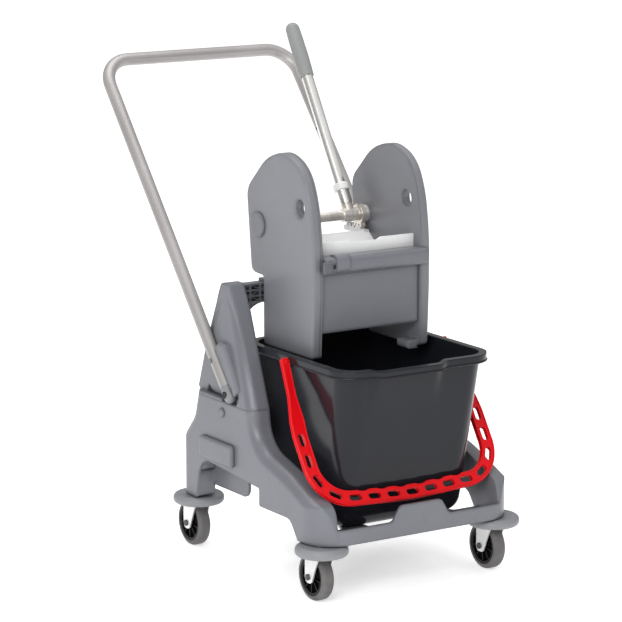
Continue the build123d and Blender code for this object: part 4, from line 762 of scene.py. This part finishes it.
# %% [markdown]
# ## The walk over a rear arch
# The legs of the base are hollow. Over each rear arch a thin roof closes the hollow, so that no one looks
# up into the dark. Seen from the side the roof is a straight run, an arc and a short tail. A curve object
# could hold that, but here a list of points and upward normals is enough.

# %% The walk over a rear arch
ARCH_START = Vector((-0.040, 0.1592))
ARCH_CORNER = Vector((0.1493, 0.1726))
ARCH_FOOT = Vector((0.1623, 0.0981))
ARCH_ROUND = 0.038
ARCH_STEPS = 12
ROOF_TAIL = 0.02


def arch_walk():
    """Points and upward normals along the roof, as (y, z) pairs."""
    run = (ARCH_CORNER - ARCH_START).normalized()
    fall = (ARCH_FOOT - ARCH_CORNER).normalized()
    half_turn = run.angle(fall) / 2
    reach = ARCH_ROUND * math.tan(half_turn)
    inward = (fall - run).normalized()
    centre = ARCH_CORNER + inward * (ARCH_ROUND / math.cos(half_turn))
    up = Vector((-run.y, run.x))
    walk = [(ARCH_START, up), (ARCH_CORNER - run * reach, up)]
    for step in range(1, ARCH_STEPS + 1):
        out = Matrix.Rotation(-2 * half_turn * step / ARCH_STEPS, 2) @ up
        walk.append((centre + out * ARCH_ROUND, out))
    last, out = walk[-1]
    walk.append((last + fall * ROOF_TAIL, out))
    return walk


print("the walk has", len(arch_walk()), "points")

# %% [markdown]
# ## Roofs of the rear arches
# The roof itself is a strip across the leg, as thick as the wall of the moulding. A Solidify modifier could
# thicken a bare strip. Four corners at each point of the walk give the same closed shape straight away, and
# faces between one ring of corners and the next make its skin.

# %% Roofs of the rear arches
ROOF_THICK = 0.0025
ROOF_OUTER = 0.193
ROOF_INNER = 0.161


def roof_mesh(name, side):
    """The roof of one arch, on the left (-1) or the right (1)."""
    roof = bmesh.new()
    rings = []
    for spot, up in arch_walk():
        top = spot + up * ROOF_THICK
        corners = [(ROOF_OUTER, spot), (ROOF_INNER, spot), (ROOF_INNER, top), (ROOF_OUTER, top)]
        rings.append([roof.verts.new((side * x, *place)) for x, place in corners])
    for one, two in zip(rings, rings[1:]):
        for corner in range(len(one)):
            roof.faces.new((one[corner - 1], one[corner], two[corner], two[corner - 1]))
    roof.faces.new(rings[0])
    roof.faces.new(rings[-1])
    bmesh.ops.recalc_face_normals(roof, faces=roof.faces)
    mesh = bpy.data.meshes.new(name)
    roof.to_mesh(mesh)
    roof.free()
    mesh.materials.append(body_plastic)
    return mesh


for side, label in ((-1, "left"), (1, "right")):
    roof_name = f"arch_roof_{label}"
    attach(stand(roof_name, roof_mesh(roof_name, side)), "base_frame")

# %% [markdown]
# ## Ribs in the wheel centres
# A plastic wheel centre is a thin web stiffened by spokes. One spoke could be copied round by hand, but a
# recipe does it for all four castors: it stands flat bars on a circle of points, turns each to face outward
# and lays the ring on the wheel's axis.

# %% Ribs in the wheel centres
SPOKES = 9
SPOKE_MIDDLE = 0.0185
SPOKE_SIZE = (0.0175, 0.0017, 0.0186)
ONTO_AXLE = (0.0, math.pi / 2, 0.0)

spoke_recipe = Recipe("spokes", Finish="Material", Place="Vector")
spoke_ring = spoke_recipe.node("GeometryNodeMeshCircle", {}, {"Vertices": SPOKES, "Radius": SPOKE_MIDDLE})
spoke_bar = spoke_recipe.node("GeometryNodeMeshCube", {}, {"Size": SPOKE_SIZE})
spoke_angle = spoke_recipe.node("GeometryNodeInputIndex") * (2 * math.pi / SPOKES)
spoke_turn = spoke_recipe.node("ShaderNodeCombineXYZ", {}, {"Z": spoke_angle})
spoke_copies = {"Points": spoke_ring, "Instance": spoke_bar, "Rotation": spoke_turn}
spokes = spoke_recipe.node("GeometryNodeInstanceOnPoints", {}, spoke_copies)
spoke_move = {"Geometry": spokes, "Rotation": ONTO_AXLE, "Translation": spoke_recipe.given("Place")}
spoke_tree = spoke_recipe.close(spoke_recipe.node("GeometryNodeTransform", {}, spoke_move))


def dots(name, spots):
    """A mesh of bare points for a recipe to start from."""
    mesh = bpy.data.meshes.new(name)
    mesh.from_pydata(spots, [], [])
    return mesh


for corner in ("front_left", "front_right", "rear_left", "rear_right"):
    low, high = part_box(f"hub_{corner}")
    middle = [(a + b) / 2 for a, b in zip(low, high)]
    start = dots(f"spoke_dot_{corner}", [(0.0, 0.0, 0.0)])
    ribs = grow(spoke_tree, f"spokes_{corner}", start, Finish=hub_plastic, Place=middle)
    attach(ribs, f"hub_{corner}")

# %% [markdown]
# ## Braces in the crosspiece
# The crosspiece between the columns is an open lattice: in each cell a thin brace runs from corner to
# corner, leaning one way and the other in turn. Two Array modifiers could repeat a bar, but they know no
# turns. Here the middles of the cells are the points of a recipe, and the lean is its input.

# %% Braces in the crosspiece
CELL_COLUMNS = 15
CELL_ROWS = 3
CELL_PITCH = 0.0196
CELL_LOW = 0.4465
CELL_RISE = 0.010
BRACE_SIZE = (0.0178, 0.0165, 0.0016)
BRACE_LEAN = 0.39
BRACE_Y = 0.1012

brace_recipe = Recipe("braces", Finish="Material", Lean="Float")
brace_bar = brace_recipe.node("GeometryNodeMeshCube", {}, {"Size": BRACE_SIZE})
brace_turn = brace_recipe.node("ShaderNodeCombineXYZ", {}, {"Y": brace_recipe.given("Lean")})
brace_copies = {"Points": brace_recipe.given("Geometry"), "Instance": brace_bar, "Rotation": brace_turn}
brace_tree = brace_recipe.close(brace_recipe.node("GeometryNodeInstanceOnPoints", {}, brace_copies))


def cell_middle(column, row):
    return (column - (CELL_COLUMNS - 1) / 2) * CELL_PITCH, BRACE_Y, CELL_LOW + row * CELL_RISE


cells = [(column, row) for row in range(CELL_ROWS) for column in range(CELL_COLUMNS)]
for parity, (label, lean) in enumerate((("up", -BRACE_LEAN), ("down", BRACE_LEAN))):
    spots = [cell_middle(*cell) for cell in cells if sum(cell) % 2 == parity]
    start = dots(f"brace_cells_{label}", spots)
    attach(grow(brace_tree, f"braces_{label}", start, Finish=body_plastic, Lean=lean), "column_arch")

# %% [markdown]
# ## Studio floor
# The trolley stands on a plain white sweep. A curved backdrop could be modelled, but a floor so wide that
# its far edge melts into the sky does the same. It glows a little, which keeps it white and leaves only a
# soft shadow under the base.

# %% Studio floor
FLOOR_HALF = 40.0
FLOOR_TONE = 0.9
FLOOR_ROUGH = 0.9
FLOOR_GLOW = 0.5


def grey(level):
    return level, level, level, 1.0


floor_mesh = bpy.data.meshes.new("studio_floor")
floor_corners = [(x * FLOOR_HALF, y * FLOOR_HALF, 0.0) for x, y in ((-1, -1), (1, -1), (1, 1), (-1, 1))]
floor_mesh.from_pydata(floor_corners, [], [(0, 1, 2, 3)])
floor_paint = Finish("floor_paint")
floor_paint.set(Base_Color=grey(FLOOR_TONE), Roughness=FLOOR_ROUGH)
floor_paint.set(Emission_Color=grey(1.0), Emission_Strength=FLOOR_GLOW)
floor_mesh.materials.append(floor_paint.material)
studio_floor = stand("studio_floor", floor_mesh)
print("floor of", 2 * FLOOR_HALF, "m")

# %% [markdown]
# ## Sky
# The room around the trolley gives its glossy parts something to mirror. One even white would flatten them,
# so the sky runs from dim at the horizon to bright overhead. A photograph of a studio would do too, but two
# stops of a ramp are enough. The Standard view keeps white white.

# %% Sky
SKY_LOW = 0.2
SKY_HIGH = 0.86
SKY_FULL = 0.8

sky = bpy.data.worlds.new("sky")
sky.use_nodes = True
sky_graph = Graph(sky.node_tree)
sky_place = sky_graph.node("ShaderNodeTexCoord", out="Generated")
sky_height = sky_graph.node("ShaderNodeSeparateXYZ", {}, {"Vector": sky_place}, out="Z")
sky_stops = [(0.0, grey(SKY_LOW)), (SKY_FULL, grey(SKY_HIGH))]
sky_tone = sky_graph.node("ShaderNodeValToRGB", {"stops": sky_stops}, {"Fac": sky_height}, out="Color")
sky_graph.feed(sky.node_tree.nodes["Background"].inputs["Color"], sky_tone)
bpy.context.scene.world = sky
bpy.context.scene.view_settings.view_transform = "Standard"
bpy.context.scene.view_settings.look = "None"
print("sky from", SKY_LOW, "to", SKY_HIGH)

# %% [markdown]
# ## Lamps
# Three soft lamps, as in a small studio: a key lamp high in front on the left, a narrow strip further round
# that draws a bright line along rounded edges, and a wide one overhead. Sun lamps would give hard shadows;
# area lamps give the quiet highlights that show the form of plastic.

# %% Lamps
LAMPS_AIM = Vector((0.0, 0.05, 0.4))


def softbox(name, place, size, power):
    """A rectangular lamp at a place, turned towards the trolley."""
    data = bpy.data.lights.new(name, "AREA")
    data.shape = "RECTANGLE"
    data.size, data.size_y = size
    data.energy = power
    lamp = stand(name, data)
    lamp.location = place
    lamp.rotation_euler = (LAMPS_AIM - lamp.location).to_track_quat("-Z", "Y").to_euler()
    print(name, "of", power, "W")


softbox("key_light", place=(-2.3, -2.5, 2.2), size=(1.3, 1.6), power=48.0)
softbox("strip_light", place=(-2.9, -1.7, 1.2), size=(0.35, 1.8), power=20.0)
softbox("top_light", place=(0.0, 0.4, 3.2), size=(2.4, 2.4), power=44.0)
